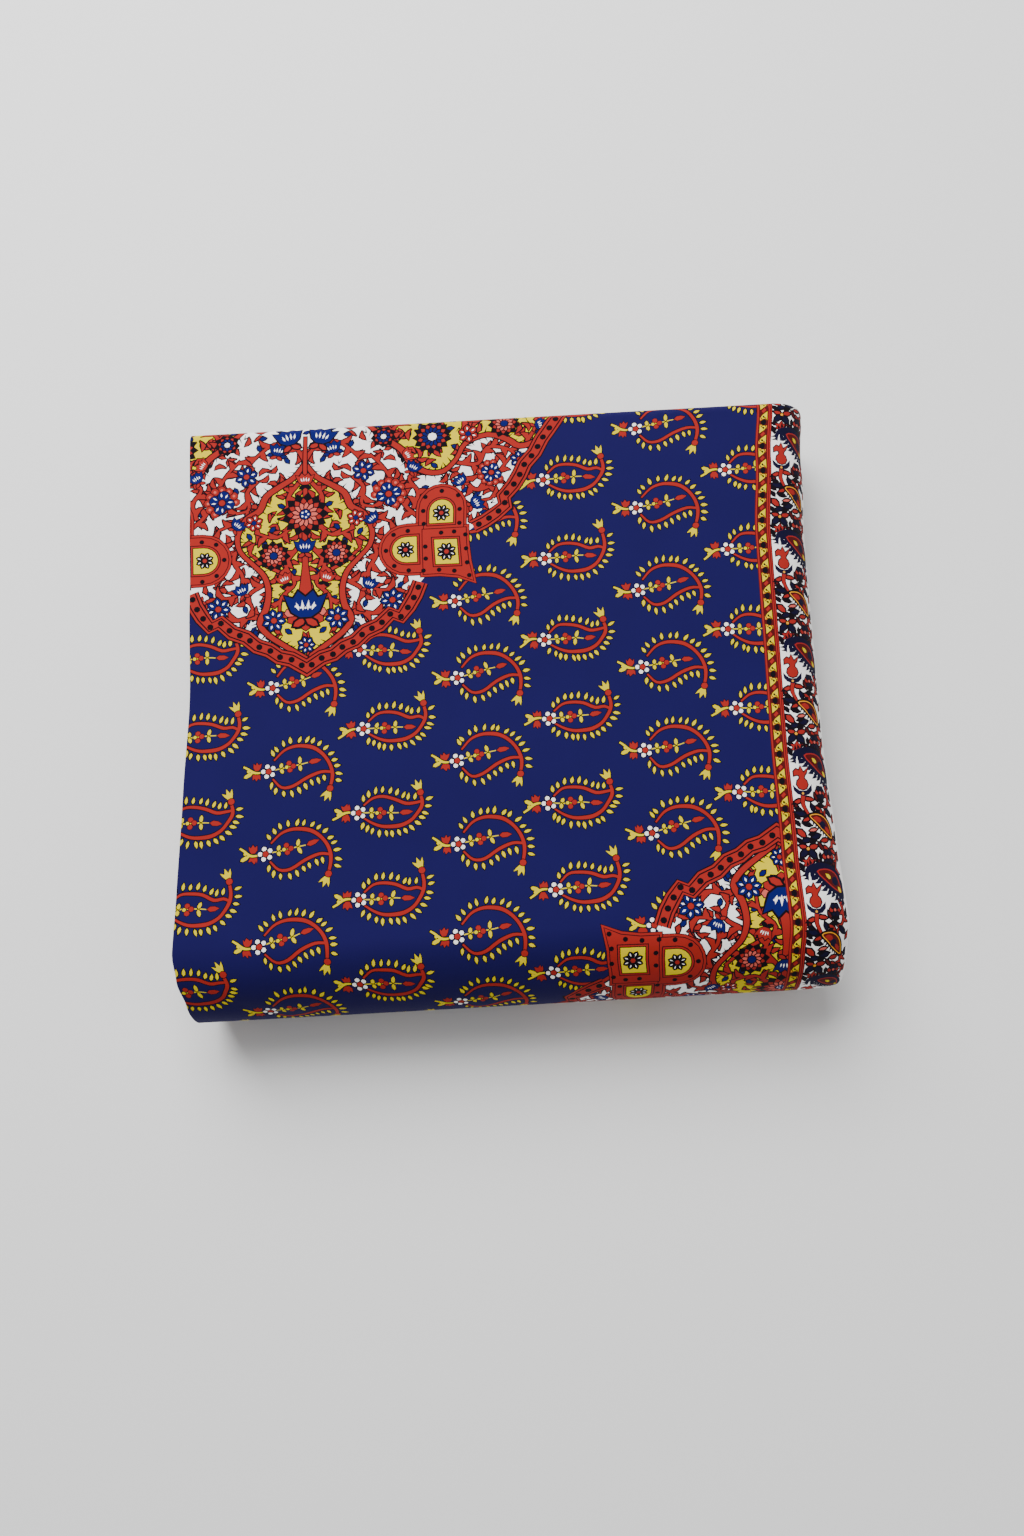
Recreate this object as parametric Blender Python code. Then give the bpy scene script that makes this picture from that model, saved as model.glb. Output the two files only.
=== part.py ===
"""A length of printed ankara cotton, folded into a soft bundle that lies flat.

The cloth is folded in quarters across its width and then into leaves along its length, and
the stack of leaves is doubled over. That leaves one full round fold at the front. The
outermost leaf runs over the top, round the front fold and back underneath, and it is a wall
of its own. The leaves that it hides share one rounded solid, whose left, right and back
faces show them as layers. Metres, +Z up, +X to the right, +Y to the back.
"""

import math

import bmesh
import bpy
from mathutils import Vector

# The cloth as it is sold
LOOM_WIDTH = 1.168
CLOTH_LENGTH = 5.49
PLIES_ACROSS = 4
LEAVES = 20

# The bundle
LEAF_WIDTH = LOOM_WIDTH / PLIES_ACROSS
LEAF_LENGTH = CLOTH_LENGTH / LEAVES
FRONT_ROLL = 0.030
SHEAR = 0.030
OUTER_WALL = 0.0016
SEAM_GAP = 0.0003
HIDDEN_LEAVES = LEAVES // 2 - 1

# The border that runs along the selvedge, and how far its shoulder starts inside it
BORDER_WIDTH = 0.027
SHOULDER_START = 0.003

# Height of the bundle along its length, 0 at the back and 1 over the front fold's centre
STACK_HEIGHT = (
    # along, height
    (0.00, 0.0515),
    (0.12, 0.0530),
    (0.50, 0.0545),
    (0.82, 0.0578),
    (1.00, 0.0600),
)

# How the right shoulder turns down to the selvedge, from the back to the front
SHOULDER = (
    # along, radius, degrees turned
    (0.00, 0.0155, 80.0),
    (0.30, 0.0190, 70.0),
    (0.65, 0.0200, 66.0),
    (1.00, 0.0240, 56.0),
)
ROLL_EASE = 0.2

# How far the left edge wanders inwards, 0 to 1 along the top, 1 to 2 round the front fold,
# and 2 to 3 underneath
LEFT_EDGE = (
    # along, inwards
    (0.00, -0.0038),
    (0.18, -0.0023),
    (0.34, -0.0009),
    (0.55, 0.0008),
    (0.73, -0.0003),
    (0.90, -0.0013),
    (1.03, -0.0021),
    (1.15, -0.0007),
    (1.30, 0.0019),
    (1.50, 0.0028),
    (2.00, 0.0040),
    (3.00, 0.0034),
)

# How far the border and the right edge wander outwards, in the same way
RIGHT_EDGE = (
    # along, outwards
    (0.00, 0.0050),
    (0.12, 0.0018),
    (0.28, -0.0012),
    (0.70, -0.0013),
    (0.88, -0.0001),
    (1.04, 0.0015),
    (1.20, 0.0004),
    (1.40, 0.0000),
    (3.00, -0.0010),
)

# Where the right face of the hidden leaves stands at half height, outside the selvedge line
RIGHT_FACE = (
    # along, outwards
    (0.00, -0.0005),
    (0.60, -0.0010),
    (1.00, -0.0030),
)

# How far each hidden leaf stands out, from the outermost leaf in to the middle one
LEAF_STANDS = (
    # left, right, back
    (0.0002, -0.0012, 0.0004),
    (-0.0008, 0.0006, 0.0022),
    (0.0010, -0.0004, 0.0034),
    (0.0002, 0.0014, 0.0040),
    (-0.0012, -0.0010, 0.0032),
    (0.0008, 0.0012, 0.0036),
    (0.0012, 0.0002, 0.0028),
    (-0.0004, -0.0014, 0.0016),
    (0.0004, 0.0008, 0.0000),
)
LEAF_ROUND = 0.0011
EDGE_INSET = 0.0016

# The back edge of the top leaf is rounded over this much
BACK_ROUND = 0.004
BACK_TURN = math.radians(60.0)

# The wrap is counted from 0 at the back edge of the top, 1 and 2 where the round front fold
# starts and ends, to 3 at the back edge underneath
WRAP_END = 3.0

# Faces along each stretch, across the leaf, across the shoulder, and on each layered edge
LENGTH_STEPS = 11
ROLL_STEPS = 14
FLAT_STEPS = 11
SHOULDER_STEPS = 7
ROWS_A_LEAF = 3
JOIN_DISTANCE = 0.00002
CREASE_ANGLE = math.radians(50.0)
GROOVE_REACH = 0.001

NAVY = (0.012, 0.017, 0.130)
SHADOWED_NAVY = (0.010, 0.013, 0.085)


def smooth(share):
    return share * share * (3.0 - 2.0 * share)


def read_table(table, along, column):
    """The value in a table's column at a place along the bundle, eased between its rows."""
    if along <= table[0][0]:
        return table[0][column]
    for low, high in zip(table, table[1:]):
        if along <= high[0]:
            share = smooth((along - low[0]) / (high[0] - low[0]))
            return low[column] + (high[column] - low[column]) * share
    return table[-1][column]


def top_share(along):
    """How far forward a place lies: 0 at the back, 1 over the front fold, and back again."""
    if along <= 1.0:
        return along
    return max(0.0, 1.0 - max(0.0, along - 2.0))


def shoulder(across, share, depth):
    """How far right and down the cloth has gone at a distance across the leaf."""
    start = LEAF_WIDTH - BORDER_WIDTH + SHOULDER_START
    if across <= start:
        return across, 0.0
    radius = read_table(SHOULDER, share, 1)
    turn = math.radians(read_table(SHOULDER, share, 2))
    angle = min((across - start) / radius, turn)
    rest = max(0.0, across - start - radius * turn)
    reach = start + (radius - depth) * math.sin(angle) + rest * math.cos(angle)
    drop = (radius - depth) * (1.0 - math.cos(angle)) + rest * math.sin(angle)
    return reach, drop


def bundle_point(across, along, depth):
    """A point of the bundle: across the leaf, along its wrap, and this deep under the outside."""
    share = top_share(along)
    reach, drop = shoulder(across, share, depth)
    height = read_table(STACK_HEIGHT, share, 1) - drop
    middle = height / 2.0
    back = LEAF_LENGTH / 2.0
    centre = -back + FRONT_ROLL
    if along <= 1.0:
        y = back + (centre - back) * along
        z = height - depth
    elif along < 2.0:
        angle = math.pi * (along - 1.0)
        y = centre - (FRONT_ROLL - ROLL_EASE * drop - depth) * math.sin(angle)
        z = middle + (middle - depth) * math.cos(angle)
    else:
        y = centre + (back - centre) * (along - 2.0)
        z = depth
    turned = 1.0 - (back - y) / BACK_ROUND
    if along < 1.0 and turned > 0.0:
        angle = BACK_TURN * turned
        radius = BACK_ROUND / math.sin(BACK_TURN) - depth
        y = back - BACK_ROUND + radius * math.sin(angle)
        z -= radius * (1.0 - math.cos(angle))
    across_share = across / LEAF_WIDTH
    wander = read_table(LEFT_EDGE, along, 1) * (1.0 - across_share)
    wander += read_table(RIGHT_EDGE, along, 1) * across_share
    return Vector((reach + wander + SHEAR * y, y, z))


def stations():
    """The places along the wrap where the sections stand."""
    top = [step / LENGTH_STEPS for step in range(LENGTH_STEPS)]
    rounded = BACK_ROUND / (LEAF_LENGTH - FRONT_ROLL)
    top[1:1] = [0.4 * rounded, rounded]
    roll = [1.0 + step / ROLL_STEPS for step in range(ROLL_STEPS + 1)]
    under = [WRAP_END - place for place in reversed(top)]
    return top + roll + under


def widths():
    """The distances across the leaf where the sections have their points."""
    start = LEAF_WIDTH - BORDER_WIDTH + SHOULDER_START
    flat = [start * step / FLAT_STEPS for step in range(FLAT_STEPS)]
    turn = [start + (LEAF_WIDTH - start) * step / SHOULDER_STEPS for step in range(SHOULDER_STEPS + 1)]
    return flat + turn


def lay_grid(bm, place, columns, rows):
    """Lays a grid of faces, with each point at place(column, row)."""
    points = [[bm.verts.new(place(column, row)) for column in columns] for row in rows]
    for low, high in zip(points, points[1:]):
        for left in range(len(columns) - 1):
            bm.faces.new((low[left], low[left + 1], high[left + 1], high[left]))


def close_up(bm):
    """Joins the points that meet and turns the faces outwards."""
    bmesh.ops.remove_doubles(bm, verts=bm.verts, dist=JOIN_DISTANCE)
    bmesh.ops.dissolve_degenerate(bm, edges=bm.edges, dist=JOIN_DISTANCE)
    bmesh.ops.recalc_face_normals(bm, faces=bm.faces)


def as_object(name, bm, material):
    mesh = bpy.data.meshes.new(name)
    bm.to_mesh(mesh)
    bm.free()
    mesh.shade_smooth()
    mesh.set_sharp_from_angle(angle=CREASE_ANGLE)
    mesh.materials.append(material)
    piece = bpy.data.objects.new(name, mesh)
    bpy.context.collection.objects.link(piece)
    return piece


def cotton(name, colour):
    material = bpy.data.materials.new(name)
    material.use_nodes = True
    shader = material.node_tree.nodes["Principled BSDF"]
    shader.inputs["Base Color"].default_value = (*colour, 1.0)
    shader.inputs["Roughness"].default_value = 0.7
    shader.inputs["Metallic"].default_value = 0.0
    return material


def build_outer_stretch(material):
    """The outermost leaf: over the top, round the front fold and underneath, as one wall."""
    bm = bmesh.new()
    lay_grid(bm, lambda across, along: bundle_point(across, along, 0.0), widths(), stations())
    close_up(bm)
    if max(bm.faces, key=lambda face: face.calc_center_median().z).normal.z < 0.0:
        bmesh.ops.reverse_faces(bm, faces=bm.faces)
    piece = as_object("outer_stretch", bm, material)
    wall = piece.modifiers.new("wall", "SOLIDIFY")
    wall.thickness = OUTER_WALL
    wall.offset = -1.0
    wall.use_even_offset = True
    return piece


def leaf_edge(inwards, column):
    """How far the layered edge stands out at a share of the way in to the middle leaf."""
    place = inwards * HIDDEN_LEAVES
    leaf = min(int(place + GROOVE_REACH), HIDDEN_LEAVES - 1)
    within = min(1.0, max(0.0, place - leaf))
    bulge = 1.0 - abs(2.0 * within - 1.0) ** 3
    groove = within < GROOVE_REACH or within > 1.0 - GROOVE_REACH
    before = LEAF_STANDS[max(0, leaf - 1)][column]
    stands = min(before, LEAF_STANDS[leaf][column]) if groove else LEAF_STANDS[leaf][column]
    settled = smooth(min(1.0, max(0.0, place - 1.0)))
    return settled * (EDGE_INSET + stands - LEAF_ROUND * (1.0 - bulge))


def hidden_point(across, along, inwards):
    """A point of the hidden leaves, from just under the outer stretch in to the middle leaf."""
    depth = OUTER_WALL + SEAM_GAP
    share = top_share(along)
    inset = min(max(across, EDGE_INSET), LEAF_WIDTH - EDGE_INSET)
    outside = bundle_point(inset, along, depth)
    under = bundle_point(inset, WRAP_END - share, depth)
    middle = (bundle_point(inset, share, depth) + under) / 2.0
    point = outside.lerp(middle, inwards)
    if across == 0.0:
        point.x -= leaf_edge(inwards, 0)
    if across == LEAF_WIDTH:
        point.x += leaf_edge(inwards, 1) + read_table(RIGHT_FACE, share, 1) * smooth(inwards)
    if along in (0.0, WRAP_END):
        point.y += leaf_edge(inwards, 2) - EDGE_INSET
    return point


def build_inner_layers(material):
    """The leaves inside the outer stretch as one rounded solid, layered at its edges."""
    bm = bmesh.new()
    rows = HIDDEN_LEAVES * ROWS_A_LEAF
    depths = [row / rows for row in range(rows + 1)]
    lay_grid(bm, lambda across, along: hidden_point(across, along, 0.0), widths(), stations())
    lay_grid(bm, lambda inwards, along: hidden_point(0.0, along, inwards), depths, stations())
    lay_grid(bm, lambda inwards, along: hidden_point(LEAF_WIDTH, along, inwards), depths, stations())
    lay_grid(bm, lambda inwards, across: hidden_point(across, 0.0, inwards), depths, widths())
    lay_grid(bm, lambda inwards, across: hidden_point(across, WRAP_END, inwards), depths, widths())
    close_up(bm)
    return as_object("inner_layers", bm, material)


def stand_on_origin(pieces):
    """Moves the bundle so that the middle of its underside is the origin."""
    bpy.context.view_layer.update()
    scene = bpy.context.evaluated_depsgraph_get()
    corners = [Vector(corner) for piece in pieces for corner in piece.evaluated_get(scene).bound_box]
    low = Vector([min(corner[axis] for corner in corners) for axis in range(3)])
    high = Vector([max(corner[axis] for corner in corners) for axis in range(3)])
    shift = Vector(((low.x + high.x) / 2.0, (low.y + high.y) / 2.0, low.z))
    for piece in pieces:
        piece.location = -shift


def main():
    for old in list(bpy.data.objects):
        bpy.data.objects.remove(old)
    outer = build_outer_stretch(cotton("printed_cotton", NAVY))
    inner = build_inner_layers(cotton("folded_edges", SHADOWED_NAVY))
    stand_on_origin([outer, inner])


main()
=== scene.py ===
import cmath
import math
import random
from bisect import bisect_right

import bmesh
import bpy
from mathutils import Matrix, Vector
from mathutils.bvhtree import BVHTree
from mathutils.geometry import delaunay_2d_cdt


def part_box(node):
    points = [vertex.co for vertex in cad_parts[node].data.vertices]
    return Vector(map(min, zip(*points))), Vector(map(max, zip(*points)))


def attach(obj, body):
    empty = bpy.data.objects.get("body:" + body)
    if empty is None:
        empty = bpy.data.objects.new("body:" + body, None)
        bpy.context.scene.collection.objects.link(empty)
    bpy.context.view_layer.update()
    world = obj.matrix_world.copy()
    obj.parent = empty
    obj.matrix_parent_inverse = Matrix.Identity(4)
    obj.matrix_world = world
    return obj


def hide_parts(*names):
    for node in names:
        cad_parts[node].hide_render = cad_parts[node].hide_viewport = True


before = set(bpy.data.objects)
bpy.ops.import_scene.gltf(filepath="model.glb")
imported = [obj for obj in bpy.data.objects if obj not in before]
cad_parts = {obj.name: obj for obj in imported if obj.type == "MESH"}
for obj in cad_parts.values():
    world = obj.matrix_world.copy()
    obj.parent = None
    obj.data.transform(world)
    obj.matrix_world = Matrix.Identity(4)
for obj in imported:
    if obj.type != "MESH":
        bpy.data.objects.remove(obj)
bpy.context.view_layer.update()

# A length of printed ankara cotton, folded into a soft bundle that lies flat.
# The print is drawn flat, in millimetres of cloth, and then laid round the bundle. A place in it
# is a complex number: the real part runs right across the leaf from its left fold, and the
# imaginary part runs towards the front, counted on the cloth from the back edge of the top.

MM = 0.001

# The bundle's own sizes, in metres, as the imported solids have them
LEAF_WIDTH = 0.292
LEAF_LENGTH = 0.2745
FRONT_ROLL = 0.030
SHEAR = 0.030
OUTER_WALL = 0.0016
SEAM_GAP = 0.0003
HIDDEN_LEAVES = 9
BORDER_WIDTH = 0.027
SHOULDER_START = 0.003
ROLL_EASE = 0.2
BACK_ROUND = 0.004
BACK_TURN = math.radians(60.0)
EDGE_INSET = 0.0016
WRAP_END = 3.0

STACK_HEIGHT = (
    # along, height
    (0.00, 0.0515),
    (0.12, 0.0530),
    (0.50, 0.0545),
    (0.82, 0.0578),
    (1.00, 0.0600),
)
SHOULDER = (
    # along, radius, degrees turned
    (0.00, 0.0155, 80.0),
    (0.30, 0.0190, 70.0),
    (0.65, 0.0200, 66.0),
    (1.00, 0.0240, 56.0),
)
LEFT_EDGE = (
    # along, inwards
    (0.00, -0.0038),
    (0.18, -0.0023),
    (0.34, -0.0009),
    (0.55, 0.0008),
    (0.73, -0.0003),
    (0.90, -0.0013),
    (1.03, -0.0021),
    (1.15, -0.0007),
    (1.30, 0.0019),
    (1.50, 0.0028),
    (2.00, 0.0040),
    (3.00, 0.0034),
)
RIGHT_EDGE = (
    # along, outwards
    (0.00, 0.0050),
    (0.12, 0.0018),
    (0.28, -0.0012),
    (0.70, -0.0013),
    (0.88, -0.0001),
    (1.04, 0.0015),
    (1.20, 0.0004),
    (1.40, 0.0000),
    (3.00, -0.0010),
)
RIGHT_FACE = (
    # along, outwards
    (0.00, -0.0005),
    (0.60, -0.0010),
    (1.00, -0.0030),
)
LEAF_STANDS = (
    # left, right, back
    (0.0002, -0.0012, 0.0004),
    (-0.0008, 0.0006, 0.0022),
    (0.0010, -0.0004, 0.0034),
    (0.0002, 0.0014, 0.0040),
    (-0.0012, -0.0010, 0.0032),
    (0.0008, 0.0012, 0.0036),
    (0.0012, 0.0002, 0.0028),
    (-0.0004, -0.0014, 0.0016),
    (0.0004, 0.0008, 0.0000),
)

# How a leaf's edge stands back on its way through the leaf, on a round fold and where two
# selvedges lie on a fold
FOLD_EDGE = (
    # through, back
    (0.00, 0.0019),
    (0.05, 0.0012),
    (0.16, 0.0005),
    (0.34, 0.0001),
    (0.54, 0.0000),
    (0.74, 0.0002),
    (0.88, 0.0006),
    (0.96, 0.0012),
)
SELVEDGE_EDGE = (
    # through, back
    (0.00, 0.0022),
    (0.05, 0.0003),
    (0.19, 0.0001),
    (0.24, 0.0018),
    (0.29, 0.0006),
    (0.43, 0.0005),
    (0.48, 0.0020),
    (0.56, 0.0010),
    (0.70, 0.0005),
    (0.86, 0.0009),
)

# The soft troughs and ridges in the outer cloth, in millimetres of cloth
CREASES = (
    # from across, from along, to across, to along, half width, rise
    (20.0, 60.0, 236.0, 34.0, 20.0, -0.30),
    (6.0, 150.0, 150.0, 172.0, 16.0, 0.25),
    (120.0, 196.0, 262.0, 168.0, 18.0, -0.30),
    (8.0, 232.0, 118.0, 242.0, 7.0, -0.35),
    (64.0, 252.0, 196.0, 247.0, 8.0, 0.35),
    (150.0, 268.0, 262.0, 258.0, 6.0, -0.30),
    (4.0, 268.0, 44.0, 286.0, 5.0, -0.50),
    (262.0, 222.0, 286.0, 262.0, 5.0, -0.55),
    (258.0, 120.0, 284.0, 146.0, 6.0, 0.30),
    (30.0, 380.0, 240.0, 400.0, 14.0, -0.15),
    (60.0, 500.0, 262.0, 470.0, 16.0, -0.15),
)

# The dyes of the print, as linear red, green and blue
DYES = {
    "navy": (0.0064, 0.0031, 0.065, 1.0),
    "red": (0.32, 0.016, 0.012, 1.0),
    "yellow": (0.67, 0.53, 0.0, 1.0),
    "white": (1.0, 0.98, 0.97, 1.0),
    "ink": (0.0030, 0.0010, 0.0040, 1.0),
    "gold": (0.80, 0.32, 0.01, 1.0),
    "brown": (0.075, 0.003, 0.004, 1.0),
    "rose": (0.60, 0.10, 0.075, 1.0),
    "blue": (0.0022, 0.0040, 0.105, 1.0),
    "night": (0.0030, 0.0022, 0.022, 1.0),
}
DYE_NAMES = list(DYES)


def smooth(share):
    return share * share * (3.0 - 2.0 * share)


def read_table(table, along, column):
    """The value in a table's column at a place along the bundle, eased between its rows."""
    if along <= table[0][0]:
        return table[0][column]
    for low, high in zip(table, table[1:]):
        if along <= high[0]:
            share = smooth((along - low[0]) / (high[0] - low[0]))
            return low[column] + (high[column] - low[column]) * share
    return table[-1][column]


def top_share(along):
    """How far forward a place lies: 0 at the back, 1 over the front fold, and back again."""
    if along <= 1.0:
        return along
    return max(0.0, 1.0 - max(0.0, along - 2.0))


def shoulder(across, share, depth):
    """How far right and down the cloth has gone at a distance across the leaf."""
    start = LEAF_WIDTH - BORDER_WIDTH + SHOULDER_START
    if across <= start:
        return across, 0.0
    radius = read_table(SHOULDER, share, 1)
    turn = math.radians(read_table(SHOULDER, share, 2))
    angle = min((across - start) / radius, turn)
    rest = max(0.0, across - start - radius * turn)
    reach = start + (radius - depth) * math.sin(angle) + rest * math.cos(angle)
    drop = (radius - depth) * (1.0 - math.cos(angle)) + rest * math.sin(angle)
    return reach, drop


def bundle_point(across, along, depth):
    """A point of the bundle: across the leaf, along its wrap, and this deep under the outside."""
    share = top_share(along)
    reach, drop = shoulder(across, share, depth)
    height = read_table(STACK_HEIGHT, share, 1) - drop
    middle = height / 2.0
    back = LEAF_LENGTH / 2.0
    centre = -back + FRONT_ROLL
    if along <= 1.0:
        y = back + (centre - back) * along
        z = height - depth
    elif along < 2.0:
        angle = math.pi * (along - 1.0)
        y = centre - (FRONT_ROLL - ROLL_EASE * drop - depth) * math.sin(angle)
        z = middle + (middle - depth) * math.cos(angle)
    else:
        y = centre + (back - centre) * (along - 2.0)
        z = depth
    turned = 1.0 - (back - y) / BACK_ROUND
    if along < 1.0 and turned > 0.0:
        angle = BACK_TURN * turned
        radius = BACK_ROUND / math.sin(BACK_TURN) - depth
        y = back - BACK_ROUND + radius * math.sin(angle)
        z -= radius * (1.0 - math.cos(angle))
    across_share = across / LEAF_WIDTH
    wander = read_table(LEFT_EDGE, along, 1) * (1.0 - across_share)
    wander += read_table(RIGHT_EDGE, along, 1) * across_share
    return Vector((reach + wander + SHEAR * y, y, z))


# How far the model was moved to stand on its origin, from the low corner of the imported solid
EDGE_STEPS = 60
LEFTMOST = min(bundle_point(0.0, WRAP_END * step / EDGE_STEPS, 0.0).x for step in range(EDGE_STEPS + 1))
SOLID_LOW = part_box("outer_stretch")[0]
STAND = Vector((SOLID_LOW[0] - LEFTMOST, SOLID_LOW[1] + LEAF_LENGTH / 2.0, 0.0))

# Cloth lengths along the wrap, measured over the outside a third of the way across
WRAP_STEPS = 1500
WRAP_PLACES = [WRAP_END * step / WRAP_STEPS for step in range(WRAP_STEPS + 1)]
WRAP_LENGTHS = [0.0]
for before, after in zip(WRAP_PLACES, WRAP_PLACES[1:]):
    stride = bundle_point(LEAF_WIDTH / 3.0, after, 0.0) - bundle_point(LEAF_WIDTH / 3.0, before, 0.0)
    WRAP_LENGTHS.append(WRAP_LENGTHS[-1] + stride.length)
CLOTH_WIDE = LEAF_WIDTH / MM
CLOTH_LONG = WRAP_LENGTHS[-1] / MM
ROLL_FROM = WRAP_LENGTHS[WRAP_STEPS // 3] / MM
ROLL_TO = WRAP_LENGTHS[2 * WRAP_STEPS // 3] / MM


def wrap_place(length):
    """The place along the wrap that lies this many millimetres of cloth from the back edge."""
    step = min(max(bisect_right(WRAP_LENGTHS, length * MM) - 1, 0), WRAP_STEPS - 1)
    share = (length * MM - WRAP_LENGTHS[step]) / (WRAP_LENGTHS[step + 1] - WRAP_LENGTHS[step])
    return WRAP_PLACES[step] + share * WRAP_END / WRAP_STEPS


def relief(across, length):
    """How far the soft troughs and ridges move the cloth outwards, in metres."""
    place = complex(across, length)
    rise = 0.0
    for from_across, from_along, to_across, to_along, half, height in CREASES:
        start = complex(from_across, from_along)
        run = complex(to_across, to_along) - start
        offset = (place - start) / run
        share = min(1.0, max(0.0, offset.real))
        away = abs(offset - share) * abs(run) / half
        if away < 3.0:
            rise += height * math.exp(-away * away)
    return rise * MM


def cloth_surface(across, length, depth=0.0):
    """The point and the outward direction of the outer cloth at a place of its print."""
    reach = 0.1
    step_across = -reach if across > CLOTH_WIDE / 2.0 else reach
    step_along = -reach if length > CLOTH_LONG / 2.0 else reach
    along = wrap_place(length)
    point = bundle_point(across * MM, along, depth)
    beside = bundle_point((across + step_across) * MM, along, depth)
    ahead = bundle_point(across * MM, wrap_place(length + step_along), depth)
    crosswise, lengthwise = (beside - point) / (step_across * MM), (ahead - point) / (step_along * MM)
    out = lengthwise.cross(crosswise).normalized()
    rise = relief(across, length)
    slope_across = (relief(across + step_across, length) - rise) / (step_across * MM)
    slope_along = (relief(across, length + step_along) - rise) / (step_along * MM)
    tilted = (out - crosswise * slope_across - lengthwise * slope_along).normalized()
    return point + out * rise + STAND, tilted


# Outlines of printed shapes


def bend(points, steps=4, closed=False):
    """A smooth line through given points."""
    count = len(points)
    spans = count if closed else count - 1
    line = []
    for span in range(spans):
        if closed:
            before, start, end, after = (points[(span + offset) % count] for offset in (-1, 0, 1, 2))
        else:
            start, end = points[span], points[span + 1]
            before = points[span - 1] if span else 2 * start - end
            after = points[span + 2] if span + 2 < count else 2 * end - start
        for step in range(steps):
            share = step / steps
            first = (end - before) * share
            second = (2 * before - 5 * start + 4 * end - after) * share * share
            third = (3 * start - before - 3 * end + after) * share ** 3
            line.append(0.5 * (2 * start + first + second + third))
    if not closed:
        line.append(points[-1])
    return line


def area_of(outline):
    sides = zip(outline, outline[1:] + outline[:1])
    return 0.5 * sum((start.conjugate() * end).imag for start, end in sides)


def within(place, outline):
    """True if a place lies inside an outline."""
    inside = False
    for start, end in zip(outline, outline[1:] + outline[:1]):
        if (start.imag > place.imag) != (end.imag > place.imag):
            share = (place.imag - start.imag) / (end.imag - start.imag)
            if place.real < start.real + share * (end.real - start.real):
                inside = not inside
    return inside


def grow(outline, by):
    """The outline moved outwards, with its corners kept from running far out."""
    side = 1.0 if area_of(outline) > 0.0 else -1.0
    count = len(outline)
    grown = []
    for index, point in enumerate(outline):
        before, after = point - outline[index - 1], outline[(index + 1) % count] - point
        if abs(before) < 1e-6 or abs(after) < 1e-6:
            grown.append(point)
            continue
        normals = [-1j * side * line / abs(line) for line in (before, after)]
        mitre = normals[0] + normals[1]
        stretch = min(2.0 / max(abs(mitre) ** 2, 0.5), 1.6)
        grown.append(point + mitre * stretch * by)
    return grown


def polar(reach, degrees):
    return cmath.rect(reach, math.radians(degrees))


def disc(at, radius, sides=8):
    return [at + cmath.rect(radius, 2.0 * math.pi * step / sides) for step in range(sides)]


def petal(root, tip, width, full=0.55):
    """A leaf, bud or petal from its root to its tip, widest part of the way along."""
    run = tip - root
    side = 1j * run / abs(run) * width / 2.0
    shares = ((full * 0.6, 0.88), (full + (1.0 - full) * 0.42, 0.8))
    right = [root + run * share - side * wide for share, wide in shares]
    left = [root + run * share + side * wide for share, wide in reversed(shares)]
    return [root] + right + [tip] + left


def stroke(root, tip, width):
    """A short pointed stroke of four corners."""
    run = tip - root
    side = 1j * run / abs(run) * width / 2.0
    return [root, root + run * 0.4 - side, tip, root + run * 0.4 + side]


def hook(root, tip, width, sweep):
    """A petal whose tip is swept to one side, for a curling leaf."""
    run = tip - root
    side = 1j * run / abs(run)
    middle = root + run * 0.5 + side * sweep * abs(run)
    return strap(bend([root, middle, tip], 2), (0.35 * width, width, 0.05 * width))[:-1]


def strap(line, widths):
    """A band along a line, whose width runs through the given widths from end to end."""
    last = len(line) - 1
    left, right = [], []
    for index, point in enumerate(line):
        ahead = line[min(index + 1, last)] - line[max(index - 1, 0)]
        share = index / last * (len(widths) - 1)
        low = min(int(share), len(widths) - 2)
        half = (widths[low] + (widths[low + 1] - widths[low]) * (share - low)) / 2.0
        side = 1j * ahead / abs(ahead) * half
        left.append(point + side)
        right.append(point - side)
    return right + left[::-1]


def inked(dye, outline, edge=0.4):
    """A printed shape with the dark edge that the block printer draws round it."""
    return [("ink", grow(outline, edge)), (dye, outline)]


def printed(dye, outline, edge, fine, plain=None):
    """A printed shape: with its dark edge, or plainer where the cloth lies down."""
    return inked(dye, outline, edge) if fine else [(dye, plain or outline)]


def joined(dye, outlines, edge, fine):
    """Shapes of one dye that run into each other, with their dark edges all beneath them."""
    edges = [("ink", grow(part, edge)) for part in outlines] if fine else []
    return edges + [(dye, part) for part in outlines]


def moved(shapes, rule):
    """The shapes with each of their points put where the rule says."""
    return [(dye, [rule(point) for point in outline]) for dye, outline in shapes]


def placed(shapes, at, turn=0.0, size=1.0, flip=False):
    """Shapes drawn about their own middle, put at a place of the cloth."""
    spin = cmath.rect(size, turn)
    return moved(shapes, lambda point: at + spin * (point.conjugate() if flip else point))


# The seeds of the small unevenness in the field, the medallion and the border
FIELD_SEED = 11
MEDALLION_SEED = 23
BORDER_SEED = 5

# The paisley field. A paisley lies with its flower at the middle, its belly on the positive
# side and its tail on the negative side; the other kind is turned over, with a fuller belly.

# How far the print is drawn with all its dark edges, past what shows of it from above
FINE_UNTIL = 292.0

COLUMN_PITCH = 41.9
FIRST_COLUMN = 36.9
ROW_PITCH = 38.6

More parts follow.
